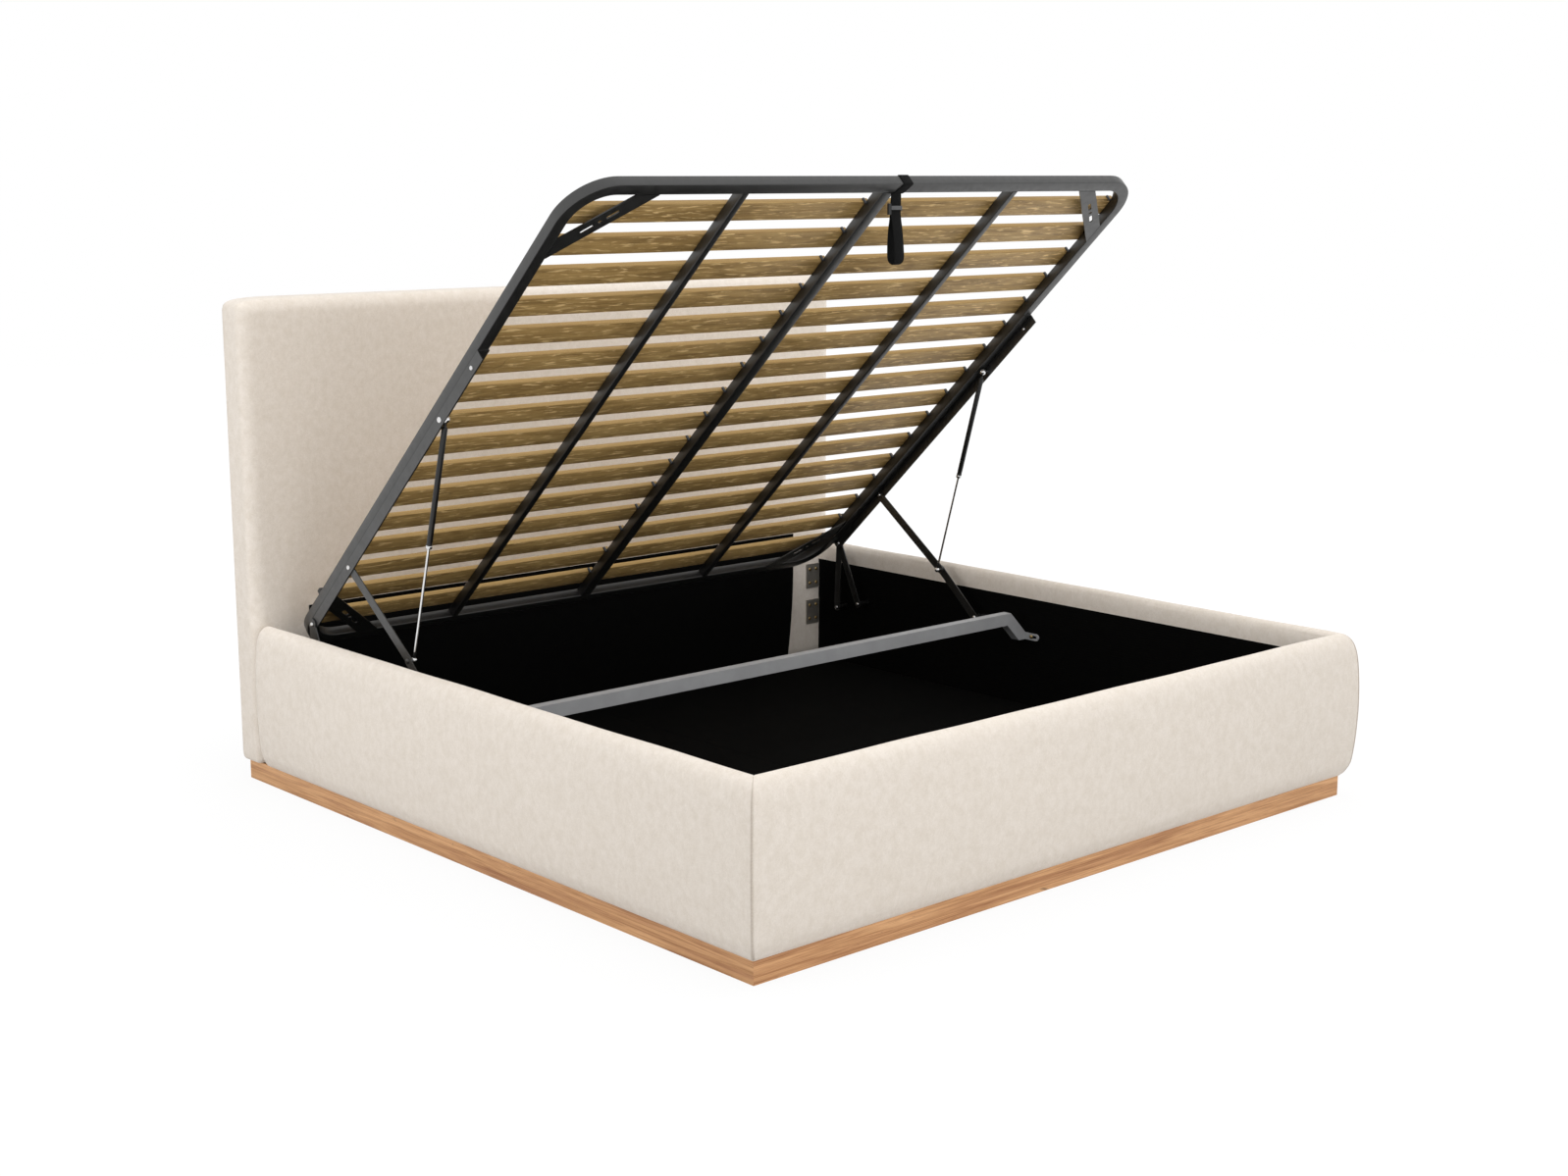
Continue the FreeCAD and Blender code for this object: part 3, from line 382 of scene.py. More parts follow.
def lathe_stretch(
    skin: Skin,
    centre: np.ndarray,
    axis: np.ndarray,
    profile: np.ndarray,
    sides: int,
    slot: int,
) -> None:
    """Add one stretch of a turned piece; stretches that share a point close on each other,
    and an end that comes within a millimetre of the axis is closed.

    Args:
        skin: The mesh that the turned surface joins.
        centre: The foot of the axis.
        axis: The axis, one unit long.
        profile: Reach and height of each ring, n by 2.
        sides: How many sides the rings have.
        slot: The material slot.
    """
    points = turned(centre, axis, RIGHT, profile, sides)
    skin.grid(points, closed_columns=True, slot=slot)
    for end in (0, -1):
        if profile[end, 0] < MM:
            skin.fan(points[end], np.zeros((sides, 2)), slot)


# Finishes


def linear(colour: Triple) -> Tone:
    """A screen colour of 0 to 255 as the light value that gives it.

    Args:
        colour: Red, green and blue, 0 to 255.

    Returns:
        The light value, with full cover.
    """
    share = np.array(colour) / 255.0
    light = np.where(share <= 0.04045, share / 12.92, ((share + 0.055) / 1.055) ** 2.4)
    return (*map(float, light), 1.0)


def grey(value: float) -> Tone:
    """The same light value in every channel."""
    return (value, value, value, 1)


def fill(node: bpy.types.Node, values: dict[str, object]) -> None:
    """Set a node's inputs by their names."""
    for name, value in values.items():
        node.inputs[name].default_value = value


class Recipe:
    """A material's nodes, with short ways to add the usual ones."""

    def __init__(self, name: str) -> None:
        """Start a material with only its shader and output.

        Args:
            name: The material's name.
        """
        self.material = bpy.data.materials.new(name)
        self.material.use_nodes = True
        self.nodes = self.material.node_tree.nodes
        self.links = self.material.node_tree.links
        self.nodes.clear()
        self.shader = self.nodes.new("ShaderNodeBsdfPrincipled")
        output = self.nodes.new("ShaderNodeOutputMaterial")
        self.links.new(self.shader.outputs[0], output.inputs[0])
        self.place = self.nodes.new("ShaderNodeTexCoord")

    def spread(self, scale: Triple, chart: bool = False) -> Socket:
        """Coordinates stretched by a scale.

        Args:
            scale: How often the pattern repeats per metre along each direction.
            chart: Whether the piece's own flat map is read in place of its position.

        Returns:
            The stretched coordinates.
        """
        mapping = self.nodes.new("ShaderNodeMapping")
        mapping.inputs["Scale"].default_value = scale
        self.links.new(self.place.outputs["UV" if chart else "Object"], mapping.inputs["Vector"])
        return mapping.outputs[0]

    def noise(
        self, where: Socket, detail: float = 4.0, rough: float = 0.5, bend: float = 0.0
    ) -> Socket:
        """Cloudy noise from 0 to 1.

        Args:
            where: The coordinates it is read at.
            detail: How many finer layers it has.
            rough: How strong the finer layers are.
            bend: How much the pattern is bent.

        Returns:
            The noise value.
        """
        node = self.nodes.new("ShaderNodeTexNoise")
        fill(node, {"Scale": 1.0, "Detail": detail, "Roughness": rough, "Distortion": bend})
        self.links.new(where, node.inputs["Vector"])
        return node.outputs["Fac"]

    def ramp(
        self, value: Socket, stops: list[tuple[float, tuple[float, ...]]]
    ) -> Socket:
        """Colours along a value.

        Args:
            value: What chooses the colour.
            stops: Pairs of a value and its colour.

        Returns:
            The colour.
        """
        node = self.nodes.new("ShaderNodeValToRGB")
        points = node.color_ramp.elements
        while len(points) < len(stops):
            points.new(0.5)
        for point, (place, colour) in zip(points, stops):
            point.position = place
            point.color = colour
        self.links.new(value, node.inputs[0])
        return node.outputs[0]

    def mix(
        self,
        share: Socket | float,
        first: Socket,
        second: Socket | tuple[float, ...],
        how: str = "MIX",
    ) -> Socket:
        """Mix two colours.

        Args:
            share: How much of the second is taken.
            first: The first colour.
            second: The second colour.
            how: The way of mixing.

        Returns:
            The mixed colour.
        """
        node = self.nodes.new("ShaderNodeMix")
        node.data_type = "RGBA"
        node.blend_type = how
        self._feed(share, node.inputs[0])
        self._feed(first, node.inputs[6])
        self._feed(second, node.inputs[7])
        return node.outputs[2]

    def _feed(self, value: object, socket: Socket) -> None:
        """Link a socket to an input, or set the input's own value.

        Args:
            value: A socket, or a fixed value.
            socket: The input.
        """
        if isinstance(value, Socket):
            self.links.new(value, socket)
        else:
            socket.default_value = value

    def bump(self, height: Socket, depth: float, strength: float = 1.0) -> None:
        """Raise the surface by a height.

        Args:
            height: The height, 0 to 1.
            depth: The full height in metres.
            strength: How much of the bump is shown.
        """
        node = self.nodes.new("ShaderNodeBump")
        fill(node, {"Distance": depth, "Strength": strength})
        self.links.new(height, node.inputs["Height"])
        self.links.new(node.outputs[0], self.shader.inputs["Normal"])

    def math(self, how: str, first: object, second: object) -> Socket:
        """One sum on two values.

        Args:
            how: The kind of sum.
            first: The first value.
            second: The second value.

        Returns:
            The result.
        """
        node = self.nodes.new("ShaderNodeMath")
        node.operation = how
        self._feed(first, node.inputs[0])
        self._feed(second, node.inputs[1])
        return node.outputs[0]

    def marked(
        self, colour: Socket, value: Socket, start: float, tone: Triple, share: float
    ) -> Socket:
        """Lay marks over a colour where a value is high.

        Args:
            colour: The colour under the marks.
            value: What the marks follow.
            start: The value at which a mark begins.
            tone: The marks' screen colour.
            share: How much of the colour they cover.

        Returns:
            The marked colour.
        """
        spot = self.ramp(value, [(start, grey(0)), (start + 0.1, WHITE)])
        return self.mix(self.math("MULTIPLY", spot, share), colour, linear(tone))

    def colour(self, value: Socket) -> None:
        """Give the shader its colour."""
        self.links.new(value, self.shader.inputs["Base Color"])

    def gloss(self, value: Socket) -> None:
        """Give the shader its roughness from a value."""
        self.links.new(value, self.shader.inputs["Roughness"])


@dataclass(frozen=True)
class Upholstery:
    """Cream felted cloth: faint clouds, short upright threads and a fine pile. A scale says
    how often a pattern repeats per metre across, along and up."""

    name: str = "cream_upholstery"
    pale: Triple = (236, 228, 219)
    dark: Triple = (228, 219, 208)
    cloud_scale: Triple = (50, 50, 44)
    mottle_scale: Triple = (170, 170, 160)
    mottle_tone: Tone = (0.945, 0.94, 0.93, 1)
    thread_scale: Triple = (560, 560, 480)
    thread_tone: Tone = (0.93, 0.925, 0.91, 1)
    pile_scale: Triple = (1300, 1300, 1000)
    pile_tone: Tone = (0.8, 0.79, 0.78, 1)
    pile_height: float = 0.9 * MM

    def make(self) -> bpy.types.Material:
        """Build the material.

        Returns:
            The material.
        """
        recipe = Recipe(self.name)
        cloud = recipe.noise(recipe.spread(self.cloud_scale), rough=0.6, bend=0.3)
        mottle = recipe.noise(recipe.spread(self.mottle_scale), detail=3.0, rough=0.65)
        thread = recipe.noise(recipe.spread(self.thread_scale), detail=3.0, rough=0.65)
        pile = recipe.noise(recipe.spread(self.pile_scale), detail=3.0, rough=0.7)
        shade = recipe.ramp(cloud, [(0.34, linear(self.dark)), (0.66, linear(self.pale))])
        layers = (
            (0.8, mottle, 0.36, self.mottle_tone, 0.64),
            (0.7, thread, 0.34, self.thread_tone, 0.62),
            (0.85, pile, 0.3, self.pile_tone, 0.68),
        )
        for share, pattern, start, tone, end in layers:
            layer = recipe.ramp(pattern, [(start, tone), (end, WHITE)])
            shade = recipe.mix(share, shade, layer, "MULTIPLY")
        recipe.colour(shade)
        soft = {"Roughness": 0.95, "Sheen Weight": 0.2, "Sheen Roughness": 0.5}
        fill(recipe.shader, soft | {"Specular IOR Level": 0.2})
        height = recipe.math("ADD", recipe.math("MULTIPLY", thread, 0.5), pile)
        recipe.bump(height, self.pile_height, strength=0.5)
        return recipe.material


@dataclass(frozen=True)
class Timber:
    """Wood: broad tones, long fine lines along the grain, pores, small dark knots and, on
    the slats, short pale flecks. A scale says how often a pattern repeats per metre."""

    name: str
    pale: Triple
    middle: Triple
    dark: Triple
    knot: Triple = (78, 62, 40)
    fleck: Triple = (190, 158, 106)
    grain: Grain = Grain.ACROSS
    chart: bool = False
    long_scale: float = 1.6
    cross_scale: float = 260.0
    line_tone: Tone = (0.66, 0.58, 0.5, 1)
    line_share: float = 0.9
    pore_tone: Tone = (0.82, 0.79, 0.76, 1)
    pore_depth: float = 0.3 * MM
    knot_start: float = 0.69
    knot_share: float = 0.7
    fleck_start: float = 0.555
    fleck_share: float = 0.0
    roughness: float = 0.5

    def streaks(
        self,
        recipe: Recipe,
        along: float,
        cross: float,
        detail: float,
        rough: float = 0.6,
        bend: float = 0.0,
    ) -> Socket:
        """Noise drawn out along the grain.

        Args:
            recipe: The material's nodes.
            along: Its scale along the grain, as a multiple of the wood's own.
            cross: Its scale across the grain, likewise.
            detail: How many finer layers it has.
            rough: How strong the finer layers are.
            bend: How much the pattern is bent.

        Returns:
            The noise value.
        """
        scales = [cross * self.cross_scale] * 3
        scales["xyz".index(self.grain.value)] = along * self.long_scale
        return recipe.noise(recipe.spread(tuple(scales), self.chart), detail, rough, bend)

    def make(self) -> bpy.types.Material:
        """Build the material.

        Returns:
            The material.
        """
        recipe = Recipe(self.name)
        broad = self.streaks(recipe, along=1.0, cross=0.12, detail=5.0, bend=1.6)
        tones = ((0.36, self.dark), (0.5, self.middle), (0.66, self.pale))
        base = recipe.ramp(broad, [(place, linear(tone)) for place, tone in tones])
        line = self.streaks(recipe, along=2.5, cross=1.0, detail=5.0, bend=0.8)
        shade = recipe.ramp(line, [(0.36, self.line_tone), (0.56, WHITE)])
        colour = recipe.mix(self.line_share, base, shade, "MULTIPLY")
        if self.fleck_share > 0:
            flecks = self.streaks(recipe, along=5.0, cross=0.55, detail=3.0, bend=0.3)
            colour = recipe.marked(colour, flecks, self.fleck_start, self.fleck, self.fleck_share)
        knots = self.streaks(recipe, along=6.0, cross=0.14, detail=2.0, rough=0.55, bend=1.8)
        colour = recipe.marked(colour, knots, self.knot_start, self.knot, self.knot_share)
        pores = self.streaks(recipe, along=24.0, cross=4.0, detail=3.0)
        pore = recipe.ramp(pores, [(0.38, self.pore_tone), (0.54, WHITE)])
        recipe.colour(recipe.mix(0.5, colour, pore, "MULTIPLY"))
        dull, bright = grey(self.roughness + 0.12), grey(self.roughness)
        recipe.gloss(recipe.ramp(line, [(0.3, dull), (0.7, bright)]))
        recipe.bump(recipe.math("ADD", pores, line), self.pore_depth, strength=0.5)
        return recipe.material


@dataclass(frozen=True)
class Coat:
    """Paint, powder coat or plating on metal or plastic: a base colour, a fine
    orange-peel bump and a slightly uneven gloss."""

    name: str
    colour: Triple
    metal: float = 0.0
    roughness: float = 0.45
    peel_scale: float = 900.0
    peel_depth: float = 0.0002
    shade: float = 0.9
    specular: float = 0.5

    def make(self) -> bpy.types.Material:
        """Build the material.

        Returns:
            The material.
        """
        recipe = Recipe(self.name)
        wear = recipe.noise(recipe.spread((14, 14, 14)), rough=0.6)
        base = linear(self.colour)
        low = (*(channel * self.shade for channel in base[:3]), 1.0)
        recipe.colour(recipe.ramp(wear, [(0.35, low), (0.65, base)]))
        fill(recipe.shader, {"Metallic": self.metal, "Specular IOR Level": self.specular})
        bright, dull = grey(self.roughness * 0.85), grey(min(1.0, self.roughness * 1.15))
        smear = recipe.noise(recipe.spread((60, 60, 60)), detail=3.0)
        recipe.gloss(recipe.ramp(smear, [(0.3, bright), (0.7, dull)]))
        peel = recipe.noise(recipe.spread((self.peel_scale,) * 3), detail=2.0)
        recipe.bump(peel, self.peel_depth, strength=0.4)
        return recipe.material


@dataclass(frozen=True)
class Weave:
    """Flat woven cloth or webbing: two sets of threads crossing."""

    name: str
    colour: Triple
    light: Triple
    threads: float = 900.0
    chart: bool = False
    depth: float = 0.0004
    specular: float = 0.25

    def make(self) -> bpy.types.Material:
        """Build the material.

        Returns:
            The material.
        """
        recipe = Recipe(self.name)
        where = recipe.spread((self.threads,) * 3, self.chart)
        split = recipe.nodes.new("ShaderNodeSeparateXYZ")
        recipe.links.new(where, split.inputs[0])
        x, y, z = split.outputs
        first, second = x, y
        if not self.chart:
            first, second = recipe.math("ADD", x, y), recipe.math("ADD", z, y)
        rib = recipe.math("SINE", first, 0.0)
        course = recipe.math("SINE", second, 0.0)
        half_cross = recipe.math("MULTIPLY", recipe.math("MULTIPLY", rib, course), 0.5)
        height = recipe.math("ADD", half_cross, 0.5)
        cloud = recipe.noise(recipe.spread((30, 30, 30)), rough=0.6)
        half_height, half_cloud = (recipe.math("MULTIPLY", v, 0.5) for v in (height, cloud))
        tone = recipe.math("ADD", half_height, half_cloud)
        recipe.colour(recipe.ramp(tone, [(0.25, linear(self.colour)), (0.8, linear(self.light))]))
        fill(recipe.shader, {"Roughness": 0.9, "Specular IOR Level": self.specular})
        recipe.bump(height, self.depth, strength=0.6)
        return recipe.material


class Palette:
    """Every finish of the bed, made once."""

    def __init__(self) -> None:
        """Make the materials."""
        oak = dict(
            pale=(224, 175, 127), middle=(209, 159, 112), dark=(186, 135, 92), roughness=0.5
        )
        raw = dict(
            pale=(214, 190, 152), middle=(203, 178, 138), dark=(184, 156, 116), knot_share=0.2
        )
        self.upholstery = Upholstery().make()
        self.oak_across = Timber(name="oak_across", grain=Grain.ACROSS, **oak).make()
        # The side plinths' oak is a darker copy of the end plinths' oak: painted shade that damps
        # the light the lamps throw on the sides
        oak.update(pale=(214, 166, 119), middle=(199, 151, 105), dark=(177, 127, 87))
        self.oak_along_shaded = Timber(name="oak_along_shaded", grain=Grain.ALONG, **oak).make()
        self.board_across = Timber(name="board_across", grain=Grain.ACROSS, **raw).make()
        self.board_along = Timber(name="board_along", grain=Grain.ALONG, **raw).make()
        self.slat = Timber(
            name="slat_face",
            pale=(180, 150, 95),
            middle=(164, 134, 82),
            dark=(139, 112, 66),
            knot=(88, 70, 42),
            fleck=(222, 190, 134),
            chart=True,
            long_scale=3.4,
            cross_scale=230.0,
            line_share=0.55,
            knot_share=0.5,
            fleck_share=0.95,
            roughness=0.45,
        ).make()
        self.slat_edge = Timber(
            name="slat_edge",
            pale=(172, 142, 88),
            middle=(158, 130, 78),
            dark=(140, 113, 66),
            chart=True,
            long_scale=2.0,
            cross_scale=300.0,
            knot_share=0.1,
            roughness=0.5,
        ).make()
        self.steel = Coat(
            "charcoal_steel", (22, 22, 21), roughness=0.4, peel_depth=0.00005, specular=1.0
        ).make()
        self.black_steel = Coat("black_steel", (14, 14, 14), roughness=0.35).make()
        self.crossbar = Coat("grey_steel", (160, 161, 163), roughness=0.5).make()
        self.zinc = Coat(
            "zinc", (226, 226, 226), metal=1.0, roughness=0.24, peel_depth=0.0001
        ).make()
        self.plate = Coat("zinc_plate", (186, 180, 170), metal=0.8, roughness=0.42).make()
        self.brass = Coat("brass", (206, 178, 120), metal=1.0, roughness=0.3).make()
        self.chrome = Coat(
            "chrome", (232, 232, 232), metal=1.0, roughness=0.14, peel_depth=0.00002
        ).make()
        self.plastic = Coat("black_plastic", (30, 30, 31), roughness=0.45).make()
        self.clip = Coat("dark_plastic", (48, 50, 53), roughness=0.5).make()
        self.buckle = Coat("grey_plastic", (82, 82, 83), roughness=0.5).make()
        self.lining = Weave("black_lining", (6, 6, 6), (13, 13, 12), specular=0.04).make()
        # The seam thread is a darker beige than the cloth, painted shade that darkens the corner
        # seam's groove
        self.thread = Weave("seam_thread_painted_shade", (184, 174, 163), (202, 192, 181)).make()
        self.webbing = Weave(
            "black_webbing", (4, 4, 4), (14, 14, 14), threads=3200.0, chart=True
        ).make()


def dress(piece: Piece, *materials: bpy.types.Material) -> Piece:
    """Give a new piece its materials, in slot order, and hand it back.

    Args:
        piece: The new piece.
        *materials: Its finishes.

    Returns:
        The same piece.
    """
    for material in materials:
        piece.data.materials.append(material)
    return piece


def paint(node: str, material: bpy.types.Material) -> None:
    """Give a node of the frame a finish, keeping its mesh."""
    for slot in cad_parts[node].material_slots:
        slot.material = material


def keep(piece: Piece, body: str, slot: str, *nodes: str) -> Piece:
    """Fix a piece to its body and hide the nodes that it stands for.

    Args:
        piece: The new piece.
        body: The body that it rides on.
        slot: Not used.
        *nodes: The nodes that it replaces.

    Returns:
        The same piece.
    """
    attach(piece, body)
    if nodes:
        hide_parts(*nodes)
    log.info("%s rides on %s", piece.name, body)
    return piece


# The bed's upholstery


@dataclass
class BedBase:
    """The padded rails round the storage box. Sizes in millimetres, Y from the foot end."""

    foot: float = FOOT
    plinth_half: float = 1055.0
    underside: float = 55.2
    bulge: float = 33.0
    inner: float = BOX_HALF
    lining: float = 3.0
    board: float = 22.0
    board_top: float = 412.0
    lining_top: float = 388.0
    top: float = 450.0
    head_front: float = HEAD_FRONT
    end_round: float = 26.0
    shown_beyond: float = 6.0
    shown_above: float = 436.0
    fade_reach: float = 40.0
    seam_depth: float = 7.0
    seam_reach: float = 2.2
    seam_gap: float = 1.0
    parting_reach: float = 45.0
    least_parting: float = 0.1
    thread_round: float = 1.3
    thread_depth: float = 1.7

    @property
    def board_outer(self) -> float:
        """The outer face of a rail's board, from the bed's middle."""
        return self.inner + self.lining + self.board

    def section(self) -> np.ndarray:
        """The padding's section: the bulge of the face, the rolled top edge, the lip over
        the lining and the straight sides against the board.

        Returns:
            Distance from the bed's middle and height of each point, n by 2.
        """
        reach = np.array(
            [
                *(2.5, 7.5, 12.5, 20.5, 24.6, 28.0, 30.4, 31.8, 32.8, self.bulge),
                *(32.2, 30.2, 27.4, 23.6, 17.6, 9.6, 0.0, -9.0),
            ]
        )
        height = np.array(
            [
                *(self.underside, 60.0, 67.0, 84.0, 101.0, 134.0, 167.0, 200.0, 230.0, 262.0),
                *(304.0, 346.0, 379.0, 404.0, 424.0, 438.0, 446.4, 449.6),
            ]
        )
        outer = np.stack([self.plinth_half + reach, height], axis=-1)
        inset = np.array([14.8, 8.4, 3.8, 1.1, 0.0, 0.0])
        level = np.array([448.2, 442.5, 432.0, 418.0, 402.0, self.lining_top])
        roll = np.stack([self.inner + inset, level], axis=-1)
        shown = smooth_line(np.vstack([outer, roll]), 4)
        board_inner = self.inner + self.lining
        back = [
            [board_inner, self.lining_top],
            [board_inner, self.board_top],
            [self.board_outer, self.board_top],
            [self.board_outer, self.underside],
        ]
        return np.vstack([shown, back])

    def rows(self, length: float) -> np.ndarray:
        """Distances along a rail, close together near its ends for the seams.

        Args:
            length: The rail's length.

        Returns:
            The distances from one end.
        """
        near = np.array([0.0, 0.6, 1.2, 1.9, 2.8, 4.2, 7.0, 13.0, 22.0, 34.0])
        even_from = 50.0
        middle = np.linspace(even_from, length - even_from, 90)
        return np.concatenate([near, middle, length - near[::-1]])

    def swell(self, section: np.ndarray, along: np.ndarray, seed: float) -> np.ndarray:
        """How far the cloth stands out from the plain form: a slow swell of up to about a
        millimetre, the sum of three sine waves that cross.

        Args:
            section: The section's points.
            along: The distance along the rail of every row.
            seed: Shifts the waves, so that rails differ.

        Returns:
            The swell of each row and point, in millimetres.
        """
        waves = ((0.45, 117.0, 83.0), (0.35, 61.0, -47.0), (0.25, 203.0, 31.0))
        return crossed_waves(along[:, None], section[:, 1], waves, seed)

    def outward(self, section: np.ndarray) -> np.ndarray:
        """The way out of the section at each of its points, and zero on the hidden sides.

        Args:
            section: The section's points.

        Returns:
            The way out at each point, n by 2.
        """
        run = runs(section)
        on_face = section[:, 0] > self.plinth_half + self.shown_beyond
        on_top = section[:, 1] > self.shown_above
        return np.stack([run[:, 1], -run[:, 0]], axis=-1) * (on_face | on_top)[:, None]

    def parting(self, section: np.ndarray) -> np.ndarray:
        """How far the covers part at a corner seam: closed on the top edge, open below it.

        Args:
            section: The section's points.

        Returns:
            A share, up to 1, for each point.
        """
        return np.clip((self.top - section[:, 1]) / self.parting_reach, self.least_parting, 1.0)

    def cloth(
        self, section: np.ndarray, along: np.ndarray, seam: np.ndarray, seed: float
    ) -> tuple[np.ndarray, np.ndarray]:
        """A rail's cover: the section stands out by the swell, which fades towards both
        ends, and falls back by a bell curve in the groove of a seam.

        Args:
            section: The section's points.
            along: The distance along the rail of every row.
            seam: The distance of every row from the nearest seam.
            seed: Shifts the swell.

        Returns:
            Distance from the bed's middle and height of each row and point.
        """
        end = np.minimum(along, along[-1] - along)
        fade = np.clip(end / self.fade_reach, 0, 1)
        groove = self.seam_depth * np.exp(-((seam / self.seam_reach) ** 2))
        out = self.swell(section, along, seed) * fade[:, None]
        out = out - groove[:, None] * self.parting(section)
        normal = self.outward(section)
        return section[:, 0] + out * normal[:, 0], section[:, 1] + out * normal[:, 1]

    def side(self, sign: int) -> Piece:
        """One side rail's cover, mitred at the foot and rounded at the headboard.

        Args:
            sign: 1 for the right side, -1 for the left.

        Returns:
            The cover.
        """
        section = self.section()
        along = self.rows(self.head_front + self.bulge)
        reach, height = self.cloth(section, along, along, 1.0 + sign)
        start = self.plinth_half - section[:, 0] + self.seam_gap * self.parting(section)
        share = (along / along[-1])[:, None]
        y = start * (1 - share) + self.head_front * share
        rounded = np.clip(self.end_round - (self.head_front - y), 0.0, self.end_round)
        shrink = self.end_round - np.sqrt(self.end_round**2 - rounded**2)
        padding = self.plinth_half + self.bulge - self.board_outer
        outside = np.clip((reach - self.board_outer) / padding, 0, None)
        above = np.clip((height - self.board_top) / (self.top - self.board_top), 0, 1)
        x = sign * (reach - shrink * outside)
        points = np.stack([x, y + self.foot, height - shrink * above], axis=-1) * MM
        name = f"rail_cover_{SIDE_OF[sign]}"
        return surface(name, points, COVER_EDGES, closed_columns=True, caps=True)

    def foot_rail(self) -> Piece:
        """The foot rail's cover, mitred at both ends.

        Returns:
            The cover.
        """
        section = self.section()
        along = self.rows(2 * (self.plinth_half + self.bulge))
        end = np.minimum(along, along[-1] - along)
        reach, height = self.cloth(section, along, end, 5.0)
        share = (along / along[-1] * 2 - 1)[:, None]
        x = share * (section[:, 0] - self.seam_gap * self.parting(section))
        points = np.stack([x, self.foot + self.plinth_half - reach, height], axis=-1) * MM
        return surface("rail_cover_foot", points, COVER_EDGES, closed_columns=True, caps=True)

    def corner_seam(self, sign: int) -> Piece:
        """The sewn thread down a foot corner: a round line that follows the section in the
        mitre, just under the cloth. Its beige is darker than the cloth: painted shade for the
        seam's groove.

        Args:
            sign: 1 for the right corner, -1 for the left.

        Returns:
            The thread.
        """
        section = self.section()
        normal = self.outward(section)
        shown = np.linalg.norm(normal, axis=1) > 0.5
        line, normal = section[shown], normal[shown]
        turn = np.linspace(0.0, 2 * math.pi, 8, endpoint=False)
        diagonal = math.sqrt(2)
        outward = self.thread_round * np.cos(turn) - self.thread_depth
        across = self.thread_round * np.sin(turn) / diagonal
        reach = line[:, None, 0] + normal[:, None, 0] * outward / diagonal
        height = line[:, None, 1] + normal[:, None, 1] * outward
        x = sign * reach + across
        y = self.foot + self.plinth_half - reach + sign * across
        name = f"corner_seam_{SIDE_OF[sign]}"
        points = np.stack([x, y, height], axis=-1) * MM
        return surface(name, points, ROUND_EDGES, closed_columns=True, caps=True)

    def make(self, palette: Palette) -> None:
        """Build the three covers and the seams, and finish the boards and linings.

        Args:
            palette: The finishes.
        """
        for side, sign in SIDES:
            cover = dress(self.side(sign), palette.upholstery)
            keep(cover, "bed_base", "upholstery", f"rail_pad_{side}")
            # The thread's darker finish is painted shade along the seam
            keep(dress(self.corner_seam(sign), palette.thread), "bed_base", "upholstery")
        cover = dress(self.foot_rail(), palette.upholstery)
        keep(cover, "bed_base", "upholstery", "rail_pad_foot")
        finishes = (
            (palette.oak_across, "plinth_foot", "plinth_head"),
            (palette.oak_along_shaded, "plinth_left", "plinth_right"),
            (palette.board_across, "floor_joists", "rail_board_foot", "headboard_core"),
            (palette.board_along, "floor_cleats", "rail_board_left", "rail_board_right"),
            (palette.lining, "lining_left", "lining_right", "lining_foot", "lining_head"),
            (palette.lining, "floor_panel_left", "floor_panel_right"),
            (palette.crossbar, "crossbar"),
        )
        for material, *nodes in finishes:
            for node in nodes:
                paint(node, material)


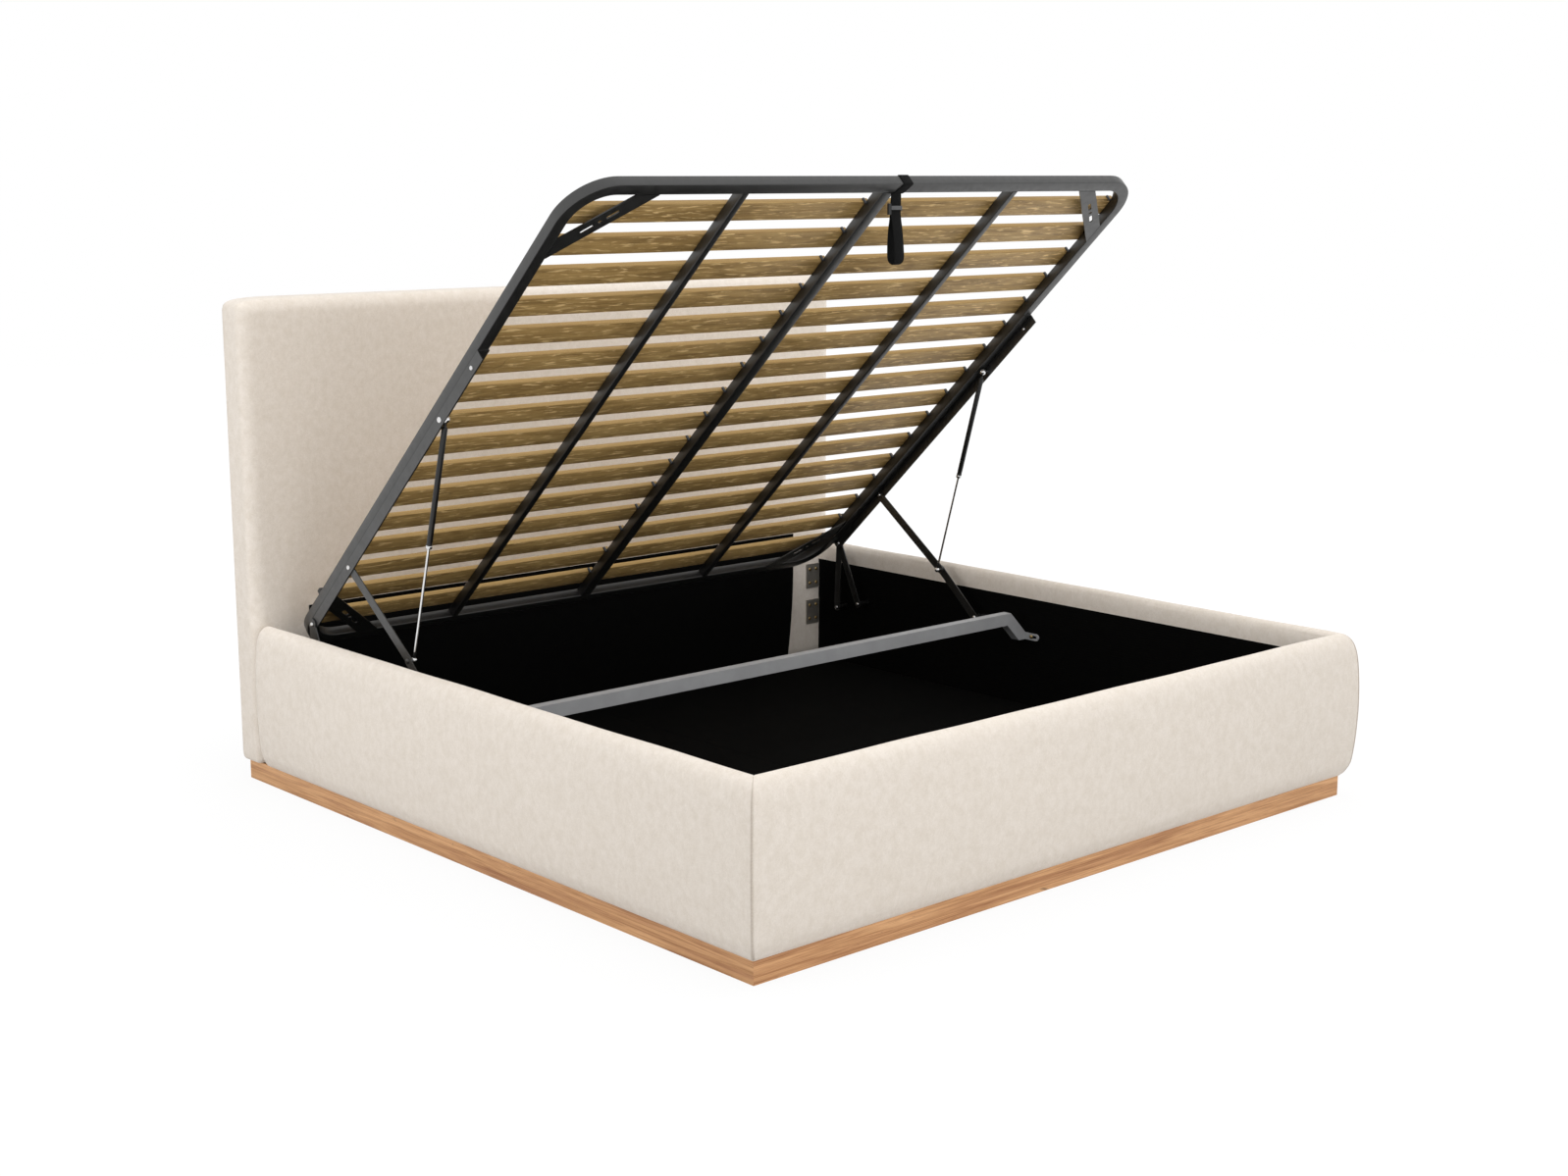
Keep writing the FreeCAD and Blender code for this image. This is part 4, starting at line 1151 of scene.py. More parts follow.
@dataclass
class Headboard:
    """The padded headboard: a rounded slab whose top falls softly at both ends. Sizes in
    millimetres, Y from the foot end."""

    foot: float = FOOT
    front: float = HEAD_FRONT
    thickness: float = 115.0
    half: float = 1075.0
    low_half: float = 1061.0
    low: float = 55.2
    low_round_top: float = 82.0
    top: float = 1334.0
    front_round: float = 30.0
    back_round: float = 22.0
    edge_reach: float = 42.0
    face_depth: float = 60.0
    crown: float = 3.0
    crown_start: float = 500.0
    crown_reach: float = 300.0
    wave_start: float = 520.0
    wave_reach: float = 80.0

    def outline(self) -> np.ndarray:
        """The headboard seen from the front, as a ring of X and Z.

        Returns:
            The ring's points against the clock.
        """
        fall = np.array([0.0, 0.6, 1.8, 4.2, 8.5, 14.0, 21.5, 32.0])
        inset = np.array([119.0, 92.0, 66.0, 40.0, 20.0, 9.0, 3.0, 0.0])
        right_top = np.stack([self.half - inset, self.top - fall], axis=-1)
        right_low = np.array(
            [
                [self.low_half, self.low],
                [1069.0, 59.0],
                [1073.4, 67.0],
                [self.half, self.low_round_top],
            ]
        )
        rise = np.linspace(self.low_round_top, self.top - fall[-1], 42)[1:-1]
        side = np.stack([np.full(len(rise), self.half), rise], axis=-1)
        top_line = smooth_line(right_top[::-1], 4)
        right = np.vstack([smooth_line(right_low, 4), side, top_line])
        left = right[::-1] * np.array([-1.0, 1.0])
        crest_half = self.half - inset[0]
        span = np.linspace(crest_half, -crest_half, 60)[1:-1]
        crest = np.stack([span, np.full(len(span), self.top)], axis=-1)
        span = np.linspace(-self.low_half, self.low_half, 60)[1:-1]
        floor = np.stack([span, np.full(len(span), self.low)], axis=-1)
        return np.vstack([right, crest, left, floor])

    def unevenness(self, x: np.ndarray, z: np.ndarray) -> np.ndarray:
        """How far the front face stands forward: a crown that rises above the mattress and
        falls towards the edges, and two sine waves that cross.

        Args:
            x: Places across the headboard.
            z: Heights.

        Returns:
            The distance at each place, in millimetres.
        """
        across = np.clip(1 - (x / (self.half - self.edge_reach)) ** 2, 0, 1)
        crown = across * np.clip((z - self.crown_start) / self.crown_reach, 0, 1)
        crown = crown * np.clip((self.top - self.edge_reach - z) / self.crown_reach, 0, 1)
        wave = crossed_waves(x, z, ((0.5, 131.0, 97.0), (0.4, 71.0, -153.0)))
        return self.crown * crown + wave * np.clip((z - self.wave_start) / self.wave_reach, 0, 1)

    def make(self, palette: Palette) -> None:
        """Build the cover: the outline shrinks towards a core rectangle by the cosine of an
        angle while the depth follows its sine, at the front edge and at the back edge, and
        both faces close in rings.

        Args:
            palette: The finishes.
        """
        ring = self.outline()
        reach = self.edge_reach
        core_x = np.clip(ring[:, 0], reach - self.half, self.half - reach)
        core_z = np.clip(ring[:, 1], self.low + reach, self.top - reach)
        core = np.stack([core_x, core_z], axis=-1)
        back_face = self.front + self.thickness
        turn = np.linspace(math.pi / 2, 0.0, 9)
        front = self.front + self.front_round * (1 - np.sin(turn))
        back = back_face - self.back_round * (1 - np.sin(turn[::-1]))
        between = np.linspace(front[-1], back[0], 5)[1:-1]
        growth = np.concatenate([np.cos(turn), np.ones(len(between)), np.cos(turn[::-1])])
        shares = np.linspace(0.0, 1.0, 15)[1:-1]
        middle = np.array([0.0, (self.low + self.top) / 2])
        body = core + (ring - core) * growth[:, None, None]
        flat = middle + (core - middle) * shares[:, None, None]
        rows = np.vstack([flat, body, flat[::-1]])
        flat_front = np.full(len(flat), self.front)
        flat_back = np.full(len(flat), back_face)
        levels = np.concatenate([flat_front, front, between, back, flat_back])
        x, z = rows[..., 0], rows[..., 1]
        level = np.repeat(levels[:, None], rows.shape[1], axis=1)
        behind = np.clip((level - self.front) / self.face_depth, 0, 1)
        level = level - self.unevenness(x, z) * (1 - behind)
        points = np.stack([x, level + self.foot, z], axis=-1) * MM
        cover = surface("headboard_cover", points, ROUND_EDGES, closed_columns=True, caps=True)
        dress(cover, palette.upholstery)
        keep(cover, "bed_base", "upholstery", "headboard_pad")


# The lift frame


@dataclass
class LiftFrame:
    """The slatted frame. Places on it are X, the distance along it from the head pivots
    towards the foot, and the height over the pivots' plane, all in millimetres."""

    foot: float = FOOT
    angle: float = 43.2
    pivot_back: float = 1892.0
    pivot_height: float = 464.0
    half: float = FRAME_HALF
    tube_width: float = 34.0
    tube_height: float = 28.0
    rise: float = 13.5
    foot_end: float = 1698.0
    head_end: float = -134.0
    bend: float = 125.0
    edge_round: float = 2.6
    bar_inset: float = 470.0
    bar_width: float = 20.0
    middle_width: float = 36.0
    slat_first: float = 1602.0
    slat_pitch: float = 107.4
    slat_width: float = 62.0
    slat_thickness: float = 14.0
    slat_round: float = 2.0
    slat_inner: float = 3.0
    slat_outer: float = 952.0
    slat_count: int = 16
    slat_seed: int = 11
    map_spread: float = 40.0
    face_shift: float = 0.3

    def place(self, points: np.ndarray) -> np.ndarray:
        """Turn places on the frame into positions in metres: the distance along runs
        towards the foot and up at the lift angle, and the height stands square to it.

        Args:
            points: X, distance along and height, in the last axis.

        Returns:
            Positions of the same shape.
        """
        turn = math.radians(self.angle)
        x, along, height = points[..., 0], points[..., 1], points[..., 2]
        y = self.foot + self.pivot_back - along * math.cos(turn) + height * math.sin(turn)
        z = self.pivot_height + along * math.sin(turn) + height * math.cos(turn)
        return np.stack([x, y, z], axis=-1) * MM

    def at(self, along: float) -> np.ndarray:
        """A place on the frame's middle line in the pivots' plane, in millimetres."""
        return self.place(np.array([0.0, along, 0.0])) / MM

    def ring_path(self) -> tuple[np.ndarray, np.ndarray]:
        """The middle line of the tube round the frame and the way out of it: a rectangle
        with quarter-circle corners.

        Returns:
            The line's points and the outward ways, n by 2 each.
        """
        inset = self.tube_width / 2
        radius = self.bend - inset
        width = 2 * (self.half - inset)
        length = self.foot_end - self.head_end - self.tube_width
        line = rounded_rectangle(width, length, radius, 16)
        out = np.concatenate(
            [
                np.stack([np.cos(turn), np.sin(turn)], axis=-1)
                for turn in (np.linspace(0, math.pi / 2, 17) + k * math.pi / 2 for k in range(4))
            ]
        )
        line = line + np.array([0.0, (self.foot_end + self.head_end) / 2])
        return line, out

    def hoop(self) -> Piece:
        """The bent tube round the frame, its square section with rounded edges carried
        along the ring.

        Returns:
            The tube.
        """
        line, out = self.ring_path()
        section = rounded_rectangle(self.tube_width, self.tube_height, self.edge_round, 3)
        flat = line[:, None, :] + out[:, None, :] * section[None, :, 0:1]
        height = np.broadcast_to(section[None, :, 1:2], flat.shape[:2] + (1,))
        points = np.concatenate([flat, height + self.rise + self.tube_height / 2], axis=-1)
        placed = self.place(points)
        return surface("frame_hoop", placed, STEEL_EDGES, closed_rows=True, closed_columns=True)

    def bar(self, name: str, centre: float, width: float) -> Piece:
        """A tube along the frame from the head end to the foot end.

        Args:
            name: The piece's name.
            centre: Its middle in X.
            width: Its width.

        Returns:
            The bar.
        """
        section = rounded_rectangle(width, self.tube_height, self.edge_round, 3)
        ends = np.linspace(self.head_end + self.tube_width, self.foot_end - self.tube_width, 2)
        shape = (len(ends), len(section))
        points = np.stack(
            [
                np.broadcast_to(centre + section[None, :, 0], shape),
                np.broadcast_to(ends[:, None], shape),
                np.broadcast_to(self.rise + self.tube_height / 2 + section[None, :, 1], shape),
            ],
            axis=-1,
        )
        return surface(name, self.place(points), STEEL_EDGES, closed_columns=True, caps=True)

    def slats(self, sign: int) -> Piece:
        """One side's slats: a rounded section carried across the bed, with its wide faces
        and its edges in two finishes, and a map that starts anew on each slat.

        Args:
            sign: 1 for the right side, -1 for the left.

        Returns:
            The slats as one piece.
        """
        ring = rounded_rectangle(self.slat_width, self.slat_thickness, self.slat_round, 2)
        near, far = self.slat_inner, self.slat_outer
        stations = np.array([near, near + 0.6, near + 2.0, far - 2.0, far - 0.6, far])
        drawn_in = np.array([1.4, 0.4, 0.0, 0.0, 0.4, 1.4])
        half_sizes = np.array([self.slat_width, self.slat_thickness]) / 2
        rings = ring * (1 - drawn_in[:, None, None] / half_sizes)
        x = np.broadcast_to(sign * stations[:, None], rings.shape[:2])
        height = self.rise + self.tube_height + self.slat_thickness / 2 + rings[..., 1]
        on_face = np.abs(ring[:, 1]) > self.slat_thickness / 2 - 1.0
        wide = on_face & np.roll(on_face, -1)
        generator = np.random.default_rng(self.slat_seed + sign)
        skin = Skin()
        for number in range(self.slat_count):
            middle = self.slat_first - self.slat_pitch * number - self.slat_width / 2
            points = np.stack([x, middle + rings[..., 0], height], axis=-1)
            shift = generator.uniform(0, self.map_spread, 2)
            across = rings[..., 0] * MM + shift[1] + self.face_shift * (rings[..., 1] > 0)
            chart = np.stack([x * MM + shift[0], across], axis=-1)
            skin.grid(self.place(points), closed_columns=True, chart=chart, caps=True)
            band, near_end, far_end = skin.slots[-3:]
            band[:] = np.where(np.tile(wide, len(stations) - 1), 0, 1)
            near_end[:] = far_end[:] = 1
        return skin.build(f"slat_row_{SIDE_OF[sign]}", STEEL_EDGES)

    def make(self, palette: Palette) -> None:
        """Build the tubes, bars and slats, and finish what the frame carries.

        Args:
            palette: The finishes.
        """
        hoop = dress(self.hoop(), palette.steel)
        keep(hoop, "lift_frame", "frame_steel", "frame_bow_foot", "frame_bow_head")
        bars = (
            ("middle_bar", "bar_middle", 0.0, self.middle_width),
            ("long_bar_left", "bar_left", -self.bar_inset, self.bar_width),
            ("long_bar_right", "bar_right", self.bar_inset, self.bar_width),
        )
        for node, name, centre, width in bars:
            bar = dress(self.bar(name, centre, width), palette.steel)
            keep(bar, "lift_frame", "frame_steel", node)
        for side, sign in SIDES:
            row = dress(self.slats(sign), palette.slat, palette.slat_edge)
            keep(row, "lift_frame", "slat_wood", f"slats_{side}")
        for node in ("corner_gussets", "angle_iron_left", "angle_iron_right"):
            paint(node, palette.steel)
        paint("slat_clips", palette.clip)
        paint("mattress_pegs", palette.plastic)


@dataclass
class Mechanism:
    """The stays, gas springs and brackets with their pins and rivets. Places are in
    millimetres: the distance from the bed's middle, then Y from the foot end and Z."""

    foot: float = FOOT
    plate: float = 974.0
    half: float = FRAME_HALF
    spring_face: float = 968.0
    link_face: float = 970.4
    bracket_face: float = 977.3
    pivot_end: float = 981.6
    lug_face: float = 1020.0
    wall: float = BOX_HALF
    anchor: float = 1043.0
    knee_back: float = 1424.0
    knee_height: float = 441.0
    post_back: float = 1277.6
    post_height: float = 308.3
    stay_along: float = 266.0
    spring_along: float = 889.0
    rivet_along: float = 1087.0
    spring_centre: float = 958.0
    ball: float = 10.0
    rod_ball: float = 8.0
    pin_round: float = 4.5
    bolt_round: float = 4.0
    rivet_round: float = 3.5
    screw_front: float = 2036.5
    screw_columns: tuple[float, ...] = (981.0, 1009.0)
    screw_rows: tuple[float, ...] = (188.0, 234.0, 310.0, 356.0)

    def at(self, back: float, height: float) -> np.ndarray:
        """A place on the bed's middle plane, in millimetres."""
        return np.array([0.0, self.foot + back, height])

    def dome(self, radius: float, height: float) -> np.ndarray:
        """Half an ellipse from its rim to its top, as reach and rise.

        Args:
            radius: The rim's radius.
            height: How high the top stands.

        Returns:
            Reach and rise of each ring, n by 2.
        """
        turn = np.linspace(0.0, math.pi / 2, 9)[:-1]
        top = np.array([[radius * 0.04, height]])
        return np.vstack([np.stack([radius * np.cos(turn), height * np.sin(turn)], axis=-1), top])

    def pin(
        self,
        start: float,
        end: float,
        shank: float,
        inner: tuple[float, float] | None = None,
        outer: tuple[float, float] | None = None,
    ) -> np.ndarray:
        """A pin's profile: a domed head or a flat end, the shank, and the other end.

        Args:
            start: Where the shank starts, from the bed's middle.
            end: Where it ends.
            shank: Its radius.
            inner: Radius and height of the inner head, if there is one.
            outer: Radius and height of the outer head, if there is one.

        Returns:
            Reach and height of each ring.
        """
        parts = []
        if inner:
            head = self.dome(*inner)[::-1]
            parts.append(np.stack([head[:, 0], start - head[:, 1]], axis=-1))
        parts.append(np.array([[shank, start], [shank, end]]))
        if outer:
            head = self.dome(*outer)
            parts.append(np.stack([head[:, 0], end + head[:, 1]], axis=-1))
        return np.vstack(parts)

    def pins(
        self,
        name: str,
        profiles: list[tuple[np.ndarray, np.ndarray]],
        signs: tuple[int, ...] = (-1, 1),
    ) -> Piece:
        """Turned pins across the bed as one piece.

        Args:
            name: The piece's name.
            profiles: Pairs of a place on the middle plane and a profile.
            signs: 1 for the right side, -1 for the left.

        Returns:
            The piece.
        """
        skin = Skin()
        for sign in signs:
            for place, profile in profiles:
                lathe(skin, place * MM, sign * RIGHT, profile * MM, sides=24)
        return skin.build(name, STEEL_EDGES)

    def ball_end(self, radius: float, neck: float) -> np.ndarray:
        """A ball's profile from its far pole to its neck, centred on height zero.

        Args:
            radius: The ball's radius.
            neck: The neck's radius.

        Returns:
            Reach and height of each ring, n by 2.
        """
        last = math.asin(neck / radius)
        turn = np.linspace(math.pi - 0.05, last, 14)
        return np.stack([radius * np.sin(turn), radius * np.cos(turn)], axis=-1)

    def spring(self, sign: int, start: np.ndarray, end: np.ndarray, palette: Palette) -> None:
        """One gas spring: a cylinder with a ball at its upper end, a rolled bead and a
        bright collar at its lower end, and a rod with a piston and a smaller ball. Profiles
        hold reach and distance from the upper ball.

        Args:
            sign: 1 for the right side, -1 for the left.
            start: The upper ball, in millimetres.
            end: The lower ball.
            palette: The finishes.
        """
        side = SIDE_OF[sign]
        across = sign * self.spring_centre * RIGHT
        start, end = start + across, end + across
        axis = end - start
        length = float(np.linalg.norm(axis))
        axis = axis / length

        def stretches(skin: Skin, *profiles: np.ndarray) -> None:
            """Add stretches along the spring, one material slot each."""
            for slot, profile in enumerate(profiles):
                lathe_stretch(skin, start * MM, axis, profile * MM, sides=28, slot=slot)

        ball = self.ball_end(self.ball, 4.6)
        neck = np.array([[4.6, 9.0], [4.0, 10.5], [4.0, 18.0], [4.8, 20.0], [5.8, 21.0]])
        tube = [[5.8, 21.0], [7.0, 22.0], [7.5, 24.0], [7.5, 324.0]]
        bead = [[6.9, 326.5], [6.9, 328.5], [7.5, 331.0], [7.5, 336.0]]
        cap = [[7.5, 336.0], [8.2, 337.0], [8.2, 343.0], [7.0, 345.0]]
        lip = [[3.55, 345.0], [3.55, 333.0]]
        bore = np.array([[3.55, 333.0], [6.0, 333.0], [6.0, 28.0], [0.2, 28.0]])
        skin = Skin()
        stretches(skin, ball, neck, np.array(tube + bead), np.array(cap + lip), bore)
        cylinder = skin.build(f"spring_cylinder_{side}", STEEL_EDGES)
        black = palette.black_steel
        dress(cylinder, palette.chrome, black, black, palette.zinc, black)
        keep(cylinder, f"gas_cylinder_{side}", "spring_black", f"gas_cylinder_{side}")

        rod_end = length - 24.0
        head = [[0.2, 322.7], [5.6, 322.7], [5.9, 323.5], [5.9, 332.0], [3.5, 332.7]]
        piston = np.array(head + [[3.5, rod_end]])
        rod_neck = np.array([[3.5, rod_end], [4.0, rod_end + 2.0], [4.0, length - 6.9]])
        rod_ball = self.ball_end(self.rod_ball, 4.0)[::-1] * np.array([1.0, -1.0])
        rod_ball = rod_ball + np.array([0.0, length])
        skin = Skin()
        stretches(skin, piston, rod_neck, rod_ball)
        stud = self.pin(self.spring_centre + 7.6, self.link_face, self.pin_round)
        place = self.at(self.knee_back, self.knee_height)
        lathe(skin, place * MM, sign * RIGHT, stud * MM, sides=20, slot=2)
        rod = skin.build(f"spring_rod_{side}", STEEL_EDGES)
        dress(rod, palette.chrome, black, palette.chrome)
        keep(rod, f"gas_rod_{side}", "chrome", f"gas_rod_{side}")

    def fastenings(self, palette: Palette, lift: LiftFrame) -> None:
        """The pins, rivets, bolts and screws with domed heads. A head is its radius and its
        height.

        Args:
            palette: The finishes.
            lift: The frame that it sits on.
        """
        inner, outer = (6.8, 4.5), (6.8, 4.6)
        pivot = self.pin(self.plate, self.pivot_end, self.pin_round, inner, outer)
        stay = self.pin(self.link_face, self.half, self.pin_round, inner, outer)
        stud = self.pin(self.spring_face, self.half, self.pin_round, outer=(8.0, 5.0))
        rivet = self.pin(self.plate, self.half, self.rivet_round, (6.0, 4.0), (6.0, 4.2))
        on_lift = (
            ("pivot_heads", 0.0, pivot, "head_pivot_pins"),
            ("stay_heads", self.stay_along, stay, "stay_pivot_pins"),
            ("stud_heads", self.spring_along, stud, "gas_ball_studs"),
            ("rivet_heads", self.rivet_along, rivet, "angle_rivets"),
        )
        for name, along, profile, node in on_lift:
            piece = dress(self.pins(name, [(lift.at(along), profile)]), palette.zinc)
            keep(piece, "lift_frame", "zinc", node)

        bolt = self.pin(self.bracket_face, self.anchor, self.bolt_round, (6.0, 3.6))
        bolts = [(self.at(1902.0, 247.0), bolt), (self.at(1803.0, 272.0), bolt)]
        peg_end = self.pin(973.7, self.bracket_face, self.pin_round, inner)
        collar = [[9.0, self.bracket_face], [9.0, self.wall]]
        root = [[self.bolt_round, self.wall], [self.bolt_round, self.anchor]]
        posts = [(self.at(self.post_back, self.post_height), np.vstack([peg_end, collar, root]))]
        lug = self.pin(self.lug_face, self.anchor, self.bolt_round, (6.0, 3.5))
        lugs = [(self.at(1083.0, 271.5), lug)]
        on_base = (
            ("bolt_heads", bolts, palette.zinc, "zinc", "bracket_bolts"),
            ("post_heads", posts, palette.zinc, "zinc", "stay_wall_posts"),
            ("lug_heads", lugs, palette.brass, "brass", "crossbar_screws"),
        )
        for name, profiles, material, slot, node in on_base:
            keep(dress(self.pins(name, profiles), material), "bed_base", slot, node)

        knee = self.pin(self.plate, self.half, self.rivet_round, outer=(6.8, 4.2))
        place = self.at(self.knee_back, self.knee_height)
        for side, sign in SIDES:
            piece = self.pins(f"knee_head_{side}", [(place, knee)], (sign,))
            dress(piece, palette.steel)
            keep(piece, f"stay_lower_{side}", "zinc", f"knee_rivet_{side}")

    def plate_screws(self, palette: Palette) -> None:
        """The domed screws in the corner plates, each with a shallow dish in its head.

        Args:
            palette: The finishes.
        """
        rim = [[5.5, 0.0], [5.5, 0.8], [5.0, 1.8], [3.9, 2.6], [2.4, 3.0]]
        profile = np.array(rim + [[1.5, 2.6], [0.2, 2.0]])
        towards_foot = np.array([0.0, -1.0, 0.0])
        skin = Skin()
        for x in self.screw_columns:
            for z in self.screw_rows:
                for sign in (-1, 1):
                    place = np.array([sign * x, self.foot + self.screw_front, z])
                    lathe(skin, place * MM, towards_foot, profile * MM, sides=18)
        piece = dress(skin.build("plate_screw_heads", STEEL_EDGES), palette.brass)
        keep(piece, "bed_base", "brass", "corner_plate_screws")

    def make(self, palette: Palette, lift: LiftFrame) -> None:
        """Build the springs and fastenings and finish the plates.

        Args:
            palette: The finishes.
            lift: The frame that it sits on.
        """
        upper = lift.at(self.spring_along)
        knee = self.at(self.knee_back, self.knee_height)
        for side, sign in SIDES:
            self.spring(sign, upper, knee, palette)
            for node in ("stay_upper", "stay_lower", "hinge_bracket"):
                paint(f"{node}_{side}", palette.steel)
        self.fastenings(palette, lift)
        self.plate_screws(palette)
        paint("bracket_spacers", palette.black_steel)
        paint("foot_corner_screws", palette.zinc)
        paint("corner_plates", palette.plate)


# The strap handle


@dataclass
class StrapHandle:
    """The webbing handle: its wrap round the foot tube, the hanging loop and its buckle.
    Sizes in millimetres."""

    centre: float = 46.0
    loop_centre: float = 27.0
    width: float = 33.0
    band: float = 2.0
    band_round: float = 0.9
    ripple: float = 0.12
    ripple_pitch: float = 4.1
    ripple_half: float = 15.0
    wrap_gap: float = 0.4
    wrap_round: float = 3.2
    wrap_step: float = 2.5
    slant: float = 13.0
    twist: float = 5.0
    gather: float = 0.5
    gather_reach: float = 14.0
    swing: float = 2.5
    length: float = 175.0
    half_depth: float = 11.5
    buckle_drop: float = 24.0
    buckle_height: float = 21.0

    def band_section(self) -> np.ndarray:
        """The band's section, a thin rectangle with rounded edges, n by 2."""
        return rounded_rectangle(self.width, self.band, self.band_round, 2)

    def ribbon(self, line: np.ndarray, out: np.ndarray, across: np.ndarray) -> np.ndarray:
        """A flat band's rings: its section, with small ribs along it, carried along a
        closed line.

        Args:
            line: The band's middle line, n by 3, in millimetres.
            out: The way off the band's face at each point.
            across: The way across its width at each point.

        Returns:
            Rings of points, n by the ring's size by 3.
        """
        ring = self.band_section()
        rib = self.ripple * np.cos(ring[:, 0] * math.pi / self.ripple_pitch)
        ribbed = np.abs(ring[:, 0]) < self.ripple_half
        thick = ring[:, 1] + np.sign(ring[:, 1]) * rib * ribbed
        wide = across[:, None, :] * ring[None, :, 0:1]
        return line[:, None, :] + wide + out[:, None, :] * thick[None, :, None]

    def wrap(self, lift: LiftFrame) -> Piece:
        """The band round the foot tube: a rounded square about the tube that slants across
        its lower face and back over the far ones.

        Args:
            lift: The frame whose foot tube it goes round.

        Returns:
            The band.
        """
        growth = self.band + self.wrap_gap
        width = lift.tube_width + growth
        corners = rounded_rectangle(width, lift.tube_height + growth, self.wrap_round, 4)
        dense = []
        for first, second in zip(corners, np.roll(corners, -1, axis=0)):
            count = max(1, int(np.linalg.norm(second - first) / self.wrap_step))
            share = np.arange(count)[:, None] / count
            dense.append(first + (second - first) * share)
        line = np.vstack(dense)
        run = runs(line)
        low = np.clip((width / 2 - line[:, 0]) / width, 0.0, 1.0)
        x = self.centre - self.slant * low**1.5
        along = lift.foot_end - lift.tube_width / 2 + line[:, 0]
        height = lift.rise + lift.tube_height / 2 + line[:, 1]
        middle = lift.place(np.stack([x, along, height], axis=-1)) / MM
        turn = math.radians(lift.angle)
        out_along, out_height = run[:, 1], -run[:, 0]
        out_y = -out_along * math.cos(turn) + out_height * math.sin(turn)
        out_z = out_along * math.sin(turn) + out_height * math.cos(turn)
        out = np.stack([np.zeros(len(line)), out_y, out_z], axis=-1)
        return self.closed_band("strap_band", middle, out, np.tile(RIGHT, (len(line), 1)))

    def closed_band(
        self, name: str, line: np.ndarray, out: np.ndarray, across: np.ndarray
    ) -> Piece:
        """A closed band with its flat map.

        Args:
            name: The piece's name.
            line: The band's middle line, n by 3, in millimetres.
            out: The way off the band's face at each point.
            across: The way across its width at each point.

        Returns:
            The band.
        """
        rings = self.ribbon(line, out, across)
        closed = {"closed_rows": True, "closed_columns": True}
        return surface(name, rings * MM, COVER_EDGES, chart=self.chart(rings), **closed)

    def chart(self, rings: np.ndarray) -> np.ndarray:
        """Places on the flat band: across it, and along it from the first ring.

        Args:
            rings: The band's rings, in millimetres.

        Returns:
            The place of each point on the flat band, in metres.
        """
        step = np.linalg.norm(np.diff(rings.mean(axis=1), axis=0), axis=1)
        along = np.concatenate([[0.0], np.cumsum(step)])
        flat = self.band_section()[:, 0]
        x, y = np.broadcast_arrays(flat[None], along[:, None])
        return np.stack([x, y], axis=-1) * MM

    def hang(self, lift: LiftFrame) -> tuple[float, float]:
        """The tube's lower inner edge, where the loop hangs, as Y and Z in millimetres.

        Args:
            lift: The frame that the loop hangs on.

        Returns:
            Y and Z of the place.
        """
        corner = np.array([0.0, lift.foot_end - lift.tube_width - self.band, lift.rise - self.band])
        place = lift.place(corner) / MM
        return float(place[1]), float(place[2])

    def turned(self, share: np.ndarray) -> tuple[np.ndarray, np.ndarray]:
        """The ways across and off the band, turned about the upright by a share of the
        twist.

        Args:
            share: How much of the twist each point takes, 0 to 1.

        Returns:
            The ways across and off the band, n by 3 each.
        """
        angle = math.radians(self.twist) * share
        zero = np.zeros_like(angle)
        across = np.stack([np.cos(angle), -np.sin(angle), zero], axis=-1)
        deep = np.stack([np.sin(angle), np.cos(angle), zero], axis=-1)
        return across, deep

    def loop(self, lift: LiftFrame) -> Piece:
        """The hanging loop: two bands side by side down to the buckle that part into a
        drop, turned a little about the upright at the buckle and gathered at the fold.

        Args:
            lift: The frame that it hangs on.

        Returns:
            The loop.
        """
        bottom = self.length - self.half_depth
        neck = self.buckle_drop + self.buckle_height
        inside = self.band / 2 + 0.05
        front = np.array(
            [
                [-inside, 0.6],
                [-inside, 10.0],
                [-inside, self.buckle_drop],
                [-inside, neck],
                [-4.0, neck + 16.0],
                [-9.0, neck + 40.0],
                [-12.6, neck + 68.0],
                [-self.half_depth - 3.2, bottom - 16.0],
                [-self.half_depth - 2.2, bottom - 4.0],
                [-10.2, bottom + 5.0],
                [-5.4, bottom + 9.4],
            ]
        )
        back = front[::-1] * np.array([-0.8, 1.0])
        fold = np.array([[0.0, bottom + 10.4]])
        over = np.array([[inside, -0.8], [0.0, -1.4], [-inside, -0.8]])
        line = smooth_line(np.vstack([front, fold, back, over]), 5, closed=True)
        run = runs(line)
        drop = line[:, 1]
        buckle = self.buckle_drop + self.buckle_height / 2
        share = np.clip(1.0 - np.abs(drop / buckle - 1.0), 0.0, 1.0)
        across, deep = self.turned(share**0.8)
        low = np.clip((drop - drop.max()) / self.gather_reach + 1.0, 0.0, 1.0)
        across *= 1.0 - self.gather * (1.0 - np.sqrt(1.0 - low[:, None] ** 2))
        hang_y, hang_z = self.hang(lift)
        x = self.loop_centre - self.swing * np.sin(np.clip(drop / self.length, 0, 1) * math.pi)
        base = np.stack([x, np.full(len(line), hang_y), hang_z - drop], axis=-1)
        place = base + deep * line[:, 0:1]
        out = deep * run[:, 1:2] + UP * run[:, 0:1]
        return self.closed_band("strap_loop", place, out, across)

